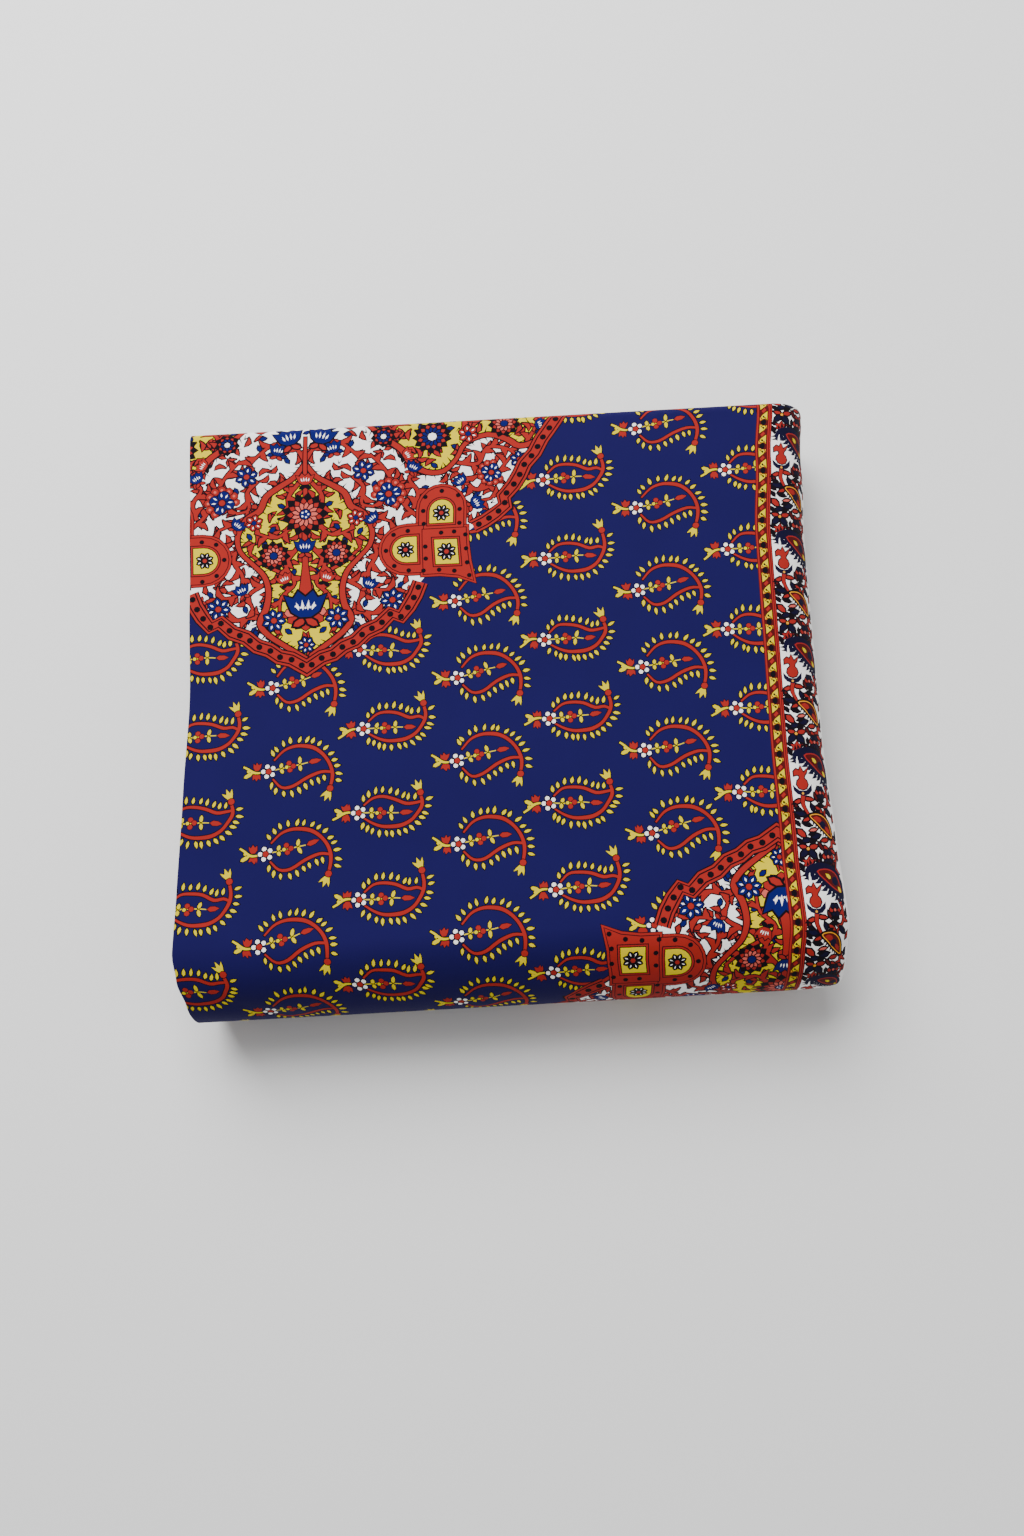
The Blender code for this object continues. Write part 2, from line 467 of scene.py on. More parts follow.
# Where the rows of flowers lie, and how far their tails reach past them. The columns take turns.
FRONT_ROWS = (
    # along, tail, leans right
    (-28.0, 1.00, 0.8),
    (11.2, 1.00, 0.6),
    (51.8, 1.10, 1.2),
    (93.3, 0.90, 0.8),
    (130.0, 1.08, 0.4),
    (169.3, 0.92, 0.2),
    (206.6, 1.10, 0.4),
    (247.2, 1.00, -1.0),
    (281.8, 0.95, -2.2),
)
BACK_ROWS = (
    # along, tail, leans right
    (-4.0, 0.70, 0.0),
    (35.0, 0.83, -0.4),
    (75.2, 1.07, 0.9),
    (114.4, 0.71, -1.4),
    (151.8, 0.87, 0.0),
    (190.7, 0.70, -1.4),
    (229.4, 1.02, -0.3),
    (266.2, 0.60, -2.4),
)

# The two lines of a paisley, with its belly on the positive side: one whose tail reaches back,
# and a fuller one whose tail reaches to the front
BELLY_BACK = (2.7 + 2.5j, 6.5 + 4.9j, 10.6 + 6.5j, 15.1 + 6.8j, 19.5 + 6.3j, 23.6 + 4.2j, 26.3 + 1.0j,
              28.0 - 2.5j, 28.3 - 6.0j, 27.7 - 9.4j)
SPINE_BACK = (2.5 - 3.1j, 6.4 - 6.2j, 10.9 - 6.7j, 16.1 - 5.7j, 21.1 - 3.4j, 25.2 - 3.6j, 28.0 - 5.9j)
BELLY_FRONT = (2.5 + 4.7j, 6.4 + 8.8j, 10.6 + 10.6j, 15.0 + 10.8j, 19.8 + 9.8j, 24.0 + 7.0j, 27.2 + 3.0j,
               28.8 - 1.2j, 28.9 - 4.8j, 28.4 - 7.6j)
SPINE_FRONT = (2.5 - 3.4j, 6.6 - 7.4j, 11.7 - 6.9j, 17.8 - 3.2j, 23.9 - 0.9j, 28.8 - 2.6j)
BELLY_WIDTHS = (0.8, 1.3, 1.75, 1.4, 1.6, 1.3)
SPINE_WIDTHS = (0.8, 1.35, 1.45, 1.1)
BELLY_BUDS = 14
SPINE_BUDS = 9


def spaced(line, count, start, end):
    """Places at even steps along a line, each with the line's direction there."""
    lengths = [0.0]
    for before, after in zip(line, line[1:]):
        lengths.append(lengths[-1] + abs(after - before))
    places = []
    for step in range(count):
        want = lengths[-1] * (start + (end - start) * step / max(1, count - 1))
        index = min(max(bisect_right(lengths, want) - 1, 0), len(line) - 2)
        ahead = line[index + 1] - line[index]
        share = (want - lengths[index]) / max(abs(ahead), 1e-9)
        places.append((line[index] + ahead * share, ahead / abs(ahead)))
    return places


def bud_outline(root, tip, width):
    """A bud that is round at its root and pointed at its tip."""
    run = tip - root
    side = 1j * run / abs(run) * width / 2.0
    low, high = root + run * 0.26, root + run * 0.6
    return [root, low - side * 0.86, high - side * 0.84, tip, high + side * 0.84, low + side * 0.86]


def buds_along(line, count, start, end, side, lean, towards, dice, fine):
    """Yellow buds that stand off a line, lean the way that it runs, and turn towards one way."""
    shapes = []
    for place, ahead in spaced(line, count, start, end):
        out = side * 1j * ahead * polar(1.0, -side * (lean + dice.uniform(-10.0, 10.0))) + towards
        out /= abs(out)
        root = place + out * dice.uniform(1.35, 1.75)
        tip, width = root + out * dice.uniform(2.9, 3.7), dice.uniform(1.45, 1.8)
        shapes += printed("yellow", bud_outline(root, tip, width), 0.45, fine, stroke(root, tip, width))
    return shapes


def paisley(dice, tail_back, tail_long, fine):
    """One paisley: the outline with its buds, the flower, and the sprigs inside and outside."""
    belly, spine = (BELLY_BACK, SPINE_BACK) if tail_back else (BELLY_FRONT, SPINE_FRONT)
    full = dice.uniform(0.94, 1.1)
    belly = [complex(point.real, point.imag * (full if point.imag > 0.0 else tail_long)) for point in belly]
    spine = [complex(point.real, point.imag * dice.uniform(0.97, 1.05)) for point in spine[:-1]]
    spine.append(belly[-3] if tail_long > 0.8 else belly[-2])
    steps = 3 if fine else 2
    belly_line, spine_line = bend(belly, steps), bend(spine, steps)
    shapes = buds_along(belly_line, BELLY_BUDS, 0.02, 0.93, 1.0, 14.0, 0j, dice, fine)
    shapes += buds_along(spine_line, SPINE_BUDS, 0.0, 0.86, -1.0, 0.0, 0.5 - 1.4j, dice, fine)
    outline = [strap(spine_line, SPINE_WIDTHS), strap(belly_line, BELLY_WIDTHS)]
    shapes += joined("red", outline, 0.4, fine)
    shapes += tail_tulip(belly[-1], fine)
    lean = dice.uniform(-1.0, 3.0) if tail_back else dice.uniform(8.0, 13.0)
    shapes += placed(inner_sprig(dice, fine), 0j, math.radians(lean))
    return shapes + outer_sprig(dice, fine) + small_flower(fine)


def tail_tulip(tail, fine):
    """The red dot and the yellow three-pointed bloom on the end of the tail."""
    dot = tail + polar(1.6, -98.0)
    base = dot + polar(1.7, -110.0)
    bloom = (0.9 + 0.6j, -0.9 + 0.6j, -2.0 - 1.6j, -2.5 - 3.4j, -0.9 - 2.1j, 0.1 - 4.6j, 0.9 - 2.1j,
             2.4 - 3.6j, 2.0 - 1.6j)
    shapes = printed("yellow", [base + polar(1.0, -24.0) * point for point in bloom], 0.4, fine)
    return shapes + printed("red", disc(dot, 1.5), 0.3, fine, disc(dot, 1.5, 6))


def small_flower(fine):
    """The five white petals about a red heart, where the paisley's outline opens."""
    heart = 0.4 + 0j
    shapes = []
    for degrees in (-108.0, -38.0, 38.0, 108.0, 180.0):
        at = heart + polar(2.35, degrees)
        shapes += printed("white", disc(at, 1.05, 7), 0.4, fine, disc(at, 1.05, 6))
    return shapes + inked("red", disc(heart, 1.3), 0.35)


def inner_sprig(dice, fine):
    """The stem inside a paisley: a leaf pair, a red flower, another leaf pair and a red bud."""
    rise, end = dice.uniform(-0.4, 0.3), dice.uniform(-0.5, 0.5)
    stem = bend([1.6 + 0j, complex(8.0, rise), 14.5 - 0.2j, complex(18.4, end)], 3)
    shapes = [("yellow", strap(stem, (0.5, 0.55, 0.4)))]
    for root, reach in ((5.8 + 0j, 2.6), (14.4 - 0.1j, 3.5)):
        for degrees in (-80.0, 82.0):
            tip = root + polar(reach * dice.uniform(0.9, 1.1), degrees + dice.uniform(-16.0, 16.0))
            shapes += printed("yellow", petal(root, tip, 1.8), 0.35, fine)
    for degrees in (-95.0, -8.0, 95.0):
        shapes += printed("red", disc(9.9 + polar(1.6, degrees), 1.2, 7), 0.25, fine)
    shapes += inked("yellow", disc(8.5 + 0j, 0.85, 6), 0.3)
    tip = stem[-1] + polar(dice.uniform(5.2, 6.0), dice.uniform(-8.0, 10.0))
    return shapes + printed("red", petal(stem[-1], tip, 2.5, 0.4), 0.3, fine)


def outer_sprig(dice, fine):
    """The forked yellow stem and the two red tulips on the other side of the flower."""
    fork = complex(-6.6, dice.uniform(-0.6, 0.6))
    low = complex(-11.0, fork.imag + dice.uniform(2.4, 3.6))
    high = complex(-10.4, fork.imag - dice.uniform(1.6, 2.6))
    tulip = (-0.8 - 0.1j, 0.8 - 0.1j, 1.8 - 1.5j, 1.9 - 3.3j, 0.9 - 2.6j, 0.1 - 3.9j, -0.8 - 2.6j,
             -1.8 - 3.3j, -1.7 - 1.5j)
    shapes = []
    for side in (-1.0, 1.0):
        root = complex(-4.9 + dice.uniform(-0.4, 0.4), 0.4 * side)
        outline = [root + polar(1.0, dice.uniform(-12.0, 4.0)) * point for point in tulip]
        if side > 0.0:
            outline = [root + (point - root).conjugate() for point in outline]
        shapes += printed("red", outline, 0.3, fine)
    forked = bend([-1.0 + 0j, (-1.6 + fork) / 2.0 - 0.5j, fork, (fork + low) / 2.0 + 0.2j, low], 2)
    stems = [strap(forked, (0.55, 0.9, 1.2, 1.0, 0.8)), petal(fork + 0.4, high, 2.0, 0.7)]
    stems.append(petal(fork * 0.65 + low * 0.35, fork * 0.45 + low * 0.55 - 1.6j, 1.6, 0.6))
    return shapes + joined("yellow", stems, 0.4, fine)


def paisley_rows(known):
    """The rows of a column: those listed, and even ones on from the last of them."""
    rows = list(known)
    while rows[-1][0] < CLOTH_LONG:
        rows.append((rows[-1][0] + ROW_PITCH, 0.80 + 0.20 * (len(rows) % 2), -0.5))
    return rows


def paisley_field():
    """Rows of paisleys, each column half a row off its neighbour and turned the other way."""
    shapes = []
    dice = random.Random(FIELD_SEED)
    for column in range(-1, 6):
        tail_back = column % 2 == 1
        for along, tail_long, leans in paisley_rows(BACK_ROWS if tail_back else FRONT_ROWS):
            flower = complex(FIRST_COLUMN + COLUMN_PITCH * column + leans, along)
            drawn = paisley(dice, tail_back, tail_long, along < FINE_UNTIL)
            turn = math.radians(dice.uniform(-3.0, 2.0))
            flower += complex(dice.uniform(-0.4, 0.4), dice.uniform(-0.3, 0.3))
            shapes += placed(drawn, flower, turn, flip=not tail_back)
    return shapes


# Flowers and leaves of the medallions and the border, and the width of a flower's dark edges

FLOWER_EDGE = 0.5

# The dyes of the two kinds of rosette, from the outer ring to the heart
BLUE_RINGS = ("ink", "red", "blue", "white")
ROSE_RINGS = ("ink", "red", "rose", "blue")


def rosette(at, radius, petals, dyes, turn=0.0):
    """A round flower in rings: each ring of petals lies over the one outside it."""
    shapes = []
    for ring, dye in enumerate(dyes[:-1]):
        reach = radius * (1.0 - 0.62 * ring / (len(dyes) - 1))
        width = 2.2 * math.pi * reach * 0.62 / petals
        for step in range(petals):
            angle = turn + 2.0 * math.pi * (step + 0.5 * ring) / petals
            root, tip = at + cmath.rect(reach * 0.25, angle), at + cmath.rect(reach, angle)
            shapes += inked(dye, petal(root, tip, width, 0.62), FLOWER_EDGE)
    return shapes + inked(dyes[-1], disc(at, radius * 0.24), FLOWER_EDGE)


def daisy(at, radius, petals, dye, heart, turn=0.0):
    """A flower of single petals with light streaks, as the small blue and red ones are."""
    shapes = []
    for step in range(petals):
        angle = turn + 2.0 * math.pi * step / petals
        outline = petal(at, at + cmath.rect(radius, angle), 2.7 * math.pi * radius * 0.5 / petals, 0.66)
        shapes += inked(dye, outline, FLOWER_EDGE)
        near, far = at + cmath.rect(radius * 0.45, angle), at + cmath.rect(radius * 0.82, angle)
        shapes.append(("white", stroke(near, far, radius * 0.17)))
    return shapes + inked(heart, disc(at, radius * 0.26, 7), 0.3)


def tulip_bloom(at, size, turn, dye="blue", lip="red"):
    """A bell-shaped bloom seen from the side, with light streaks and a coloured lip."""
    bell = (-0.25 + 0j, 0.25 + 0j, 0.62 - 0.25j, 0.78 - 0.62j, 0.95 - 1.05j, 0.55 - 0.9j, 0.34 - 1.25j,
            0.0 - 0.95j, -0.34 - 1.25j, -0.55 - 0.9j, -0.95 - 1.05j, -0.78 - 0.62j, -0.62 - 0.25j)
    shapes = []
    for side in (-1.0, 1.0):
        shapes += inked(lip, petal(0.1j, 0.55 * side + 0.42j, 0.34), 0.1)
    shapes += inked(dye, list(bell), 0.09)
    for across, top in ((-0.42, -0.72), (-0.15, -0.82), (0.15, -0.82), (0.42, -0.72)):
        shapes.append(("white", stroke(complex(across * 0.7, -0.32), complex(across, top), 0.14)))
    return placed(shapes, at, turn, size)


def leafy_stem(points, width, leaf, count, dice):
    """A red stem with hooked leaves in turn on its two sides."""
    edge = 0.55
    line = bend(points)
    leaves = []
    for index, (place, ahead) in enumerate(spaced(line, count, 0.06, 0.95)):
        side = 1.0 if index % 2 else -1.0
        out = ahead * polar(1.0, side * dice.uniform(48.0, 72.0))
        outline = hook(place, place + out * leaf * dice.uniform(0.8, 1.15), leaf * 0.42, -side * 0.22)
        leaves += inked("red", outline, edge)
    stem = strap(line, (width, width * 0.9, width * 0.55))
    return [("ink", grow(stem, edge))] + leaves + [("red", stem)]


def hair_strokes(points, reach, count, side, dice, width=1.1):
    """Short dark strokes that stand off a line, as the block cutter fills a ground."""
    shapes = []
    for place, ahead in spaced(bend(points), count, 0.02, 0.98):
        out = ahead * polar(1.0, side * dice.uniform(60.0, 85.0))
        half = ahead * width / 2.0
        shapes.append(("ink", [place - half, place + half, place + out * reach * dice.uniform(0.75, 1.2)]))
    return shapes


def sprig(at, kind, turn, pitch, dice):
    """A red leaf, a pair of dark strokes or a blue bud, as the kind from 0 to 1 says."""
    if kind < 0.56:
        tip = at + cmath.rect(pitch * dice.uniform(0.95, 1.25), turn)
        return inked("red", hook(at, tip, pitch * 0.42, dice.choice((-0.25, 0.25))), 0.6)
    if kind >= 0.84:
        return inked("blue", petal(at, at + cmath.rect(pitch * 0.66, turn), pitch * 0.4), 0.5)
    strokes = []
    for turned in (turn, turn + 0.8):
        run = cmath.rect(pitch * dice.uniform(0.5, 0.7), turned)
        strokes.append(("ink", [at - 0.11j * run, at + 0.14j * run, at + run]))
    return strokes


def scattered_sprigs(ground, low, high, pitch, dice):
    """Small leaves, strokes and buds that fill a ground, one to each cell of a loose net."""
    shapes = []
    row = low.imag
    while row < high.imag:
        column = low.real
        while column < high.real:
            across = column + dice.uniform(-0.28, 0.28) * pitch
            at = complex(across, row + dice.uniform(-0.25, 0.25) * pitch)
            kind = dice.random()
            turn = dice.uniform(-math.pi, math.pi)
            if within(at, ground):
                shapes += sprig(at, kind, turn, pitch, dice)
            column += pitch
        row += pitch
    return shapes


# The medallion, drawn for the right half of the one at the back. Its middle line lies at 53 mm,
# and the other half is its mirror image.

AXIS = 53.0
BAND = 6.8
DOT_PITCH = 5.3
BAND_LOWER = ((0, 121.6), (3.4, 119.4), (7.0, 117.1), (12.4, 115.6), (16.9, 112.1), (22.4, 110.0),
              (27.3, 105.5), (33.7, 102.8), (39.2, 97.5), (43.6, 99.5), (47.2, 94.8), (50.4, 89.4),
              (52.9, 83.0))
BAND_UPPER = ((78, 57), (83, 54.5), (88, 51), (92.5, 47), (91.5, 42.5), (96, 37), (99, 32), (101.5, 26.5),
              (106, 21), (109, 14), (112, 9), (115, 4), (118, -2), (120, -9))
OGEE = ((0, 20), (5, 27), (11, 31), (18, 36), (21, 43), (27, 47), (31, 55), (30, 63), (24, 70), (19, 76),
        (17, 84), (18, 92), (21, 99), (17, 105), (9, 111), (0, 117))
UPPER_GROUND = ((24, -12), (30, 2), (38, 10), (45, 16), (49, 23), (56, 28), (64, 28), (70, 22), (74, 14),
                (84, 10), (93, 13), (99, 17), (107, 14), (113, 3), (118, -12))
ORNAMENT = complex(65.0, 68.6)


def at_axis(points):
    """Points of the half medallion, as places of the cloth."""
    return [complex(AXIS + across, along) for across, along in points]


def mirror(place):
    """The place on the other side of the medallion's middle line."""
    return complex(2.0 * AXIS - place.real, place.imag)


def banded(line):
    """The medallion's red band: dark edges, a dark line inside each, its end on the middle line."""
    layers = []
    for dye, width in (("ink", BAND + 1.1), ("red", BAND), ("ink", BAND - 1.9), ("red", BAND - 3.1)):
        outline = strap(line, (width, width))
        if abs(line[0].real - AXIS) < 0.1:
            ahead = line[1] - line[0]
            for end in (0, -1):
                outline[end] += ahead * (AXIS - outline[end].real) / ahead.real
        layers.append((dye, outline))
    return layers


def band_dots(line):
    """The dark dots along the red band."""
    count = int(sum(abs(there - here) for here, there in zip(line, line[1:])) / DOT_PITCH)
    end = 0.5 / count
    return [("ink", disc(place, 1.5, 7)) for place, ahead in spaced(line, count, end, 1.0 - end)]


def arch(half, reach, base):
    """An arch that points back: from its base up to a round head with a slight point."""
    shoulder_at = -(reach - half * 1.02)
    head = [polar(half, degrees) for degrees in range(0, -181, -18)]
    head = [complex(point.real, shoulder_at + point.imag * 1.02) for point in head]
    return [complex(half, base)] + head + [complex(-half, base)]


def arch_up(half, reach, base):
    """The ornament's arch that points to the back."""
    return [point - 2.0 for point in arch(half, reach, base)]


def arch_inwards(half, reach, base):
    """The ornament's arch that points to the middle line."""
    return [complex(point.imag, point.real - 2.0) for point in arch(half, reach, base)]


def little_star(at, radius):
    """The eight-petalled rosette in a window of the corner ornament."""
    shapes = []
    for step in range(8):
        out = cmath.rect(radius, 2.0 * math.pi * (step + 0.5) / 8)
        shapes.append(("ink", petal(at, at + 1.14 * out, radius * 0.74, 0.6)))
        shapes.append(("white", petal(at + 0.5 * out, at + 0.9 * out, radius * 0.13, 0.6)))
    return shapes + [("ink", disc(at, radius * 0.46)), ("red", disc(at, radius * 0.28, 6))]


def window(outline, star_at, radius):
    """A yellow window in its dark and red lines, with a rosette in it."""
    lines = [(dye, grow(outline, edge)) for dye, edge in (("ink", 1.5), ("red", 1.1), ("ink", 0.4))]
    return lines + [("yellow", outline)] + little_star(star_at, radius)


def corner_ornament():
    """The ornament between two lobes: a pointed block with an arch to the back and one inwards."""
    block = [-12 - 13j, 10.8 - 13j, 10.9 - 4j, 11.6 + 5j, 13.6 + 16.6j, 5 + 13.2j, -3 + 12j, -12 + 12j]
    dots = (
        -2 - 30.6j, -9.6 - 28j, 5.6 - 28j, -10.4 - 21j, 6.4 - 21j, -10 - 14.5j, 6.4 - 14j, -2 - 9.6j,
        -27.6 - 2j, -24 - 9.8j, -24 + 5.8j, -17.4 - 11.4j, -17.4 + 8.4j, -10.6 + 8.9j, -9.4 - 3j,
        9.2 - 8j, 9.4 - 1j, 9.6 + 6j, 10.4 + 12.4j, 3.6 + 9.8j, -3.4 + 8.9j, 4 - 9.8j, -9.4 + 3j,
    )
    bodies = (arch_up(11.6, 34.0, -9.0), arch_inwards(12.9, 31.0, -9.0), block)
    shapes = []
    for dark, red in ((0.35, 0.0), (-1.0, -1.35)):
        for outline in bodies:
            shapes += [("ink", grow(outline, dark)), ("red", grow(outline, red))]
    shapes += [("ink", disc(dot, 1.15, 7)) for dot in dots]
    shapes += window(arch_up(5.4, 26.2, -14.6), -2 - 19.6j, 3.9)
    shapes += window(arch_inwards(6.3, 24.6, -13.4), -18.6 - 2j, 3.9)
    shapes += window([-5.2 - 6.2j, 5.2 - 6.0j, 5.8 + 6.2j, -4.8 + 6.0j], 0.3 + 0j, 4.2)
    return placed(shapes, AXIS + ORNAMENT)


def medallion_half(dice):
    """The right half of the medallion's filling, in a layout of its own."""
    ogee, upper = at_axis(OGEE), at_axis(UPPER_GROUND)
    inner, outer = AXIS - 0.05, AXIS + 120.0
    ground = [complex(inner, -14.0), complex(inner, 120.0)] + at_axis(BAND_LOWER) + [AXIS + ORNAMENT]
    ground += at_axis(BAND_UPPER) + [complex(outer, -14.0)]
    shapes = [("white", ground), ("yellow", [complex(inner, 20.0)] + bend(ogee, 3))]
    shapes.append(("yellow", bend(upper, 3)))
    low, high = complex(AXIS + 2.0, -10.0), complex(AXIS + 118.0, 118.0)
    shapes += scattered_sprigs(ground, low, high, 5.0, dice) + medallion_vines(dice)
    for line, count in ((ogee, 38), (upper, 40)):
        for side in (-1.0, 1.0):
            shapes += hair_strokes(line, 4.3, count, side, dice, 1.3)
    for line in (ogee, upper):
        shapes += inked("red", strap(bend(line, 3), (1.9, 2.9, 1.8, 2.8, 1.9)), 0.6)
    return shapes + medallion_flowers()


def medallion_vines(dice):
    """The leafy stems that run between the flowers."""
    routes = (
        ((0, 19), (5, 11), (14, 9), (22, 15), (29, 24)),
        ((52, 50), (46, 44), (41, 33), (36, 24), (30, 17)),
        ((50, 46), (52, 38), (48, 31), (52, 26)),
        ((21, 43), (27, 46), (33, 49), (40, 52)),
        ((22, 28), (27, 34), (26, 42), (32, 44)),
        ((31, 60), (33, 68), (29, 76), (32, 85), (44, 86)),
        ((19, 97), (26, 96), (33, 97), (41, 93)),
        ((19, 80), (26, 85), (24, 92)),
        ((72, 30), (78, 38), (86, 36), (91, 28), (96, 21)),
        ((74, 50), (79, 45), (86, 43)),
        ((70, 24), (80, 25), (84, 17), (93, 18), (99, 23)),
        ((44, 18), (40, 6), (48, -3), (66, -4), (76, 2), (86, -4)),
        ((102, 15), (106, 8), (112, -2)),
        ((3, 30), (8, 38), (6, 50), (13, 57), (23, 54)),
        ((3, 62), (9, 71), (5, 80), (11, 87), (12, 95)),
        ((12, 74), (19, 70), (26, 64)),
    )
    shapes = []
    for route in routes:
        points = at_axis(route)
        length = sum(abs(there - here) for here, there in zip(points, points[1:]))
        shapes += leafy_stem(points, 1.7, 6.2, max(3, int(length / 4.4)), dice)
    return shapes


def posy(at, radius, turn):
    """A large flower of four dark lobes with light spots, half ringed by round red petals."""
    shapes = []
    for step in range(9):
        ring = at + cmath.rect(radius * 0.84, turn + math.radians(-120.0 + 30.0 * step))
        shapes += inked("red", disc(ring, radius * 0.25, 7), 0.35)
        shapes.append(("rose", disc(ring, radius * 0.1, 5)))
    for step in range(4):
        angle = turn + math.radians(45.0 + 90.0 * step)
        shapes += inked("blue", disc(at + cmath.rect(radius * 0.42, angle), radius * 0.36))
        for side in (-0.32, 0.32):
            near, far = (at + cmath.rect(radius * reach, angle + side) for reach in (0.36, 0.66))
            shapes.append(("white", stroke(near, far, 0.8)))
    return shapes + inked("red", disc(at, radius * 0.2), 0.45)


def medallion_flowers():
    """The flowers, each at a place of its own right of the middle line."""
    rosettes = (
        # across, along, radius, petals, dyes
        (14.5, 66.0, 7.2, 11, ROSE_RINGS),
        (58.5, 9.5, 8.6, 13, BLUE_RINGS),
        (91.5, 4.5, 7.0, 11, ROSE_RINGS),
        (36.0, 8.0, 5.4, 9, BLUE_RINGS),
    )
    posies = (
        # across, along, radius, degrees turned
        (38.5, 38.0, 7.6, -60.0),
        (86.0, 30.0, 6.2, 160.0),
    )
    daisies = (
        # across, along, radius, petals, dye, heart
        (27.0, 25.5, 5.2, 6, "blue", "red"),
        (14.5, 98.0, 5.4, 7, "blue", "red"),
        (40.0, 91.0, 5.6, 7, "blue", "red"),
        (99.0, 24.0, 4.2, 6, "blue", "red"),
        (75.0, 9.0, 4.6, 6, "red", "blue"),
        (23.5, 49.0, 4.0, 6, "red", "blue"),
    )
    tulips = (
        # across, along, size, degrees turned, dye, lip
        (13.0, 15.0, 4.9, -14.0, "blue", "red"),
        (49.0, 27.0, 4.2, 30.0, "blue", "red"),
        (32.5, 51.5, 4.2, -40.0, "blue", "red"),
        (28.5, 84.5, 4.3, 24.0, "blue", "red"),
        (48.0, 87.0, 3.8, 118.0, "blue", "red"),
        (77.0, 46.0, 4.6, 60.0, "blue", "red"),
        (73.0, 35.0, 4.0, -40.0, "blue", "red"),
        (45.5, 19.5, 4.0, 60.0, "red", "ink"),
        (9.0, 80.0, 4.2, 20.0, "red", "ink"),
        (106.0, 7.0, 4.2, 70.0, "blue", "red"),
    )
    shapes = []
    for across, along, radius, petals, dyes in rosettes:
        shapes += rosette(complex(AXIS + across, along), radius, petals, dyes, 0.2)
    for across, along, radius, degrees in posies:
        shapes += posy(complex(AXIS + across, along), radius, math.radians(degrees))
    for across, along, radius, petals, dye, heart in daisies:
        shapes += daisy(complex(AXIS + across, along), radius, petals, dye, heart, 0.35)
    for across, along, size, degrees, dye, lip in tulips:
        shapes += tulip_bloom(complex(AXIS + across, along), size, math.radians(degrees), dye, lip)
    return shapes


def medallion_middle():
    """What stands on the middle line itself: a tree of flowers, one above another."""
    heart, crown = complex(AXIS, 46.0), complex(AXIS, 94.0)
    trunk = bend([complex(AXIS, along) for along in (92.0, 84.0, 72.0, 60.0, 30.0, 6.0)], 3)
    shapes = inked("red", strap(trunk, (9.5, 5.6, 2.6, 2.2, 1.8, 1.4)), 0.45)
    shapes += rosette(heart, 10.4, 13, ROSE_RINGS)
    for angle in (0.0, 1.26, 2.51, 3.77, 5.03):
        shapes.append(("white", disc(heart + cmath.rect(1.5, angle), 0.5, 5)))
    for step in range(7):
        near, far = (crown + polar(reach, 5.0 + 28.3 * step) for reach in (3.0, 9.6))
        shapes += inked("red" if step % 2 else "rose", petal(near, far, 4.2, 0.7), 0.45)
    shapes += tulip_bloom(complex(AXIS, 97.0), 10.2, 0.0)
    for across in (-4.4, -2.2, 0.0, 2.2, 4.4):
        shapes.append(("white", disc(complex(AXIS + across, 92.6 - 0.05 * across * across), 0.55, 5)))
    shapes += tulip_bloom(complex(AXIS, 65.0), 5.4, 0.0)
    shapes += tulip_bloom(complex(AXIS, 31.0), 4.6, 0.0, "red", "ink")
    shapes += daisy(complex(AXIS, 110.5), 4.0, 7, "blue", "red")
    for side in (-1.0, 1.0):
        shapes += tulip_bloom(complex(AXIS + 6.6 * side, 9.5), 7.2, 0.25 * side)
    return shapes


def medallion():
    """The whole medallion: both halves, the middle, the bands, and the two ornaments."""
    half = medallion_half(random.Random(MEDALLION_SEED))
    shapes = half + moved(half, mirror) + medallion_middle()
    bands, dots = [], []
    for points in (BAND_LOWER, BAND_UPPER):
        line = at_axis(points)
        bands += banded(line)
        dots += band_dots(line)
    bands += moved(bands, mirror)
    for layer in range(4):
        shapes += bands[layer::4]
    corner = corner_ornament()
    return shapes + dots + moved(dots, mirror) + corner + moved(corner, mirror)


# The border along the selvedge

BORDER_FROM = 260.9
BORDER_SEAM = BORDER_FROM - 0.2
SCROLL_MIDDLE = 264.15
SCROLL_REPEAT = 12.5
FIRST_SCROLL = 11.8
VASE_MIDDLE = 272.0
VASE_REPEAT = 52.4
FIRST_VASE = 31.7
SELVEDGE = 290.4


def stripe(dye, low, high):
    """A straight stripe along the cloth, with a point each few millimetres."""
    rows = int(CLOTH_LONG / 6.0) + 1
    ends = [-1.0 + (CLOTH_LONG + 2.0) * row / rows for row in range(rows + 1)]
    side = [complex(low, along) for along in ends]
    return [(dye, side + [complex(high, along) for along in reversed(ends)])]


def border_grounds():
    """The dark ground of the scrolls, its red lines and the white ground of the flowers."""
    shapes = stripe("brown", BORDER_FROM - 0.1, 268.3)
    for low, high in ((261.15, 261.9), (266.35, 266.9), (267.25, 267.75)):
        shapes += stripe("red", low, high)
    return shapes + stripe("white", 268.15, CLOTH_WIDE + 1.0)


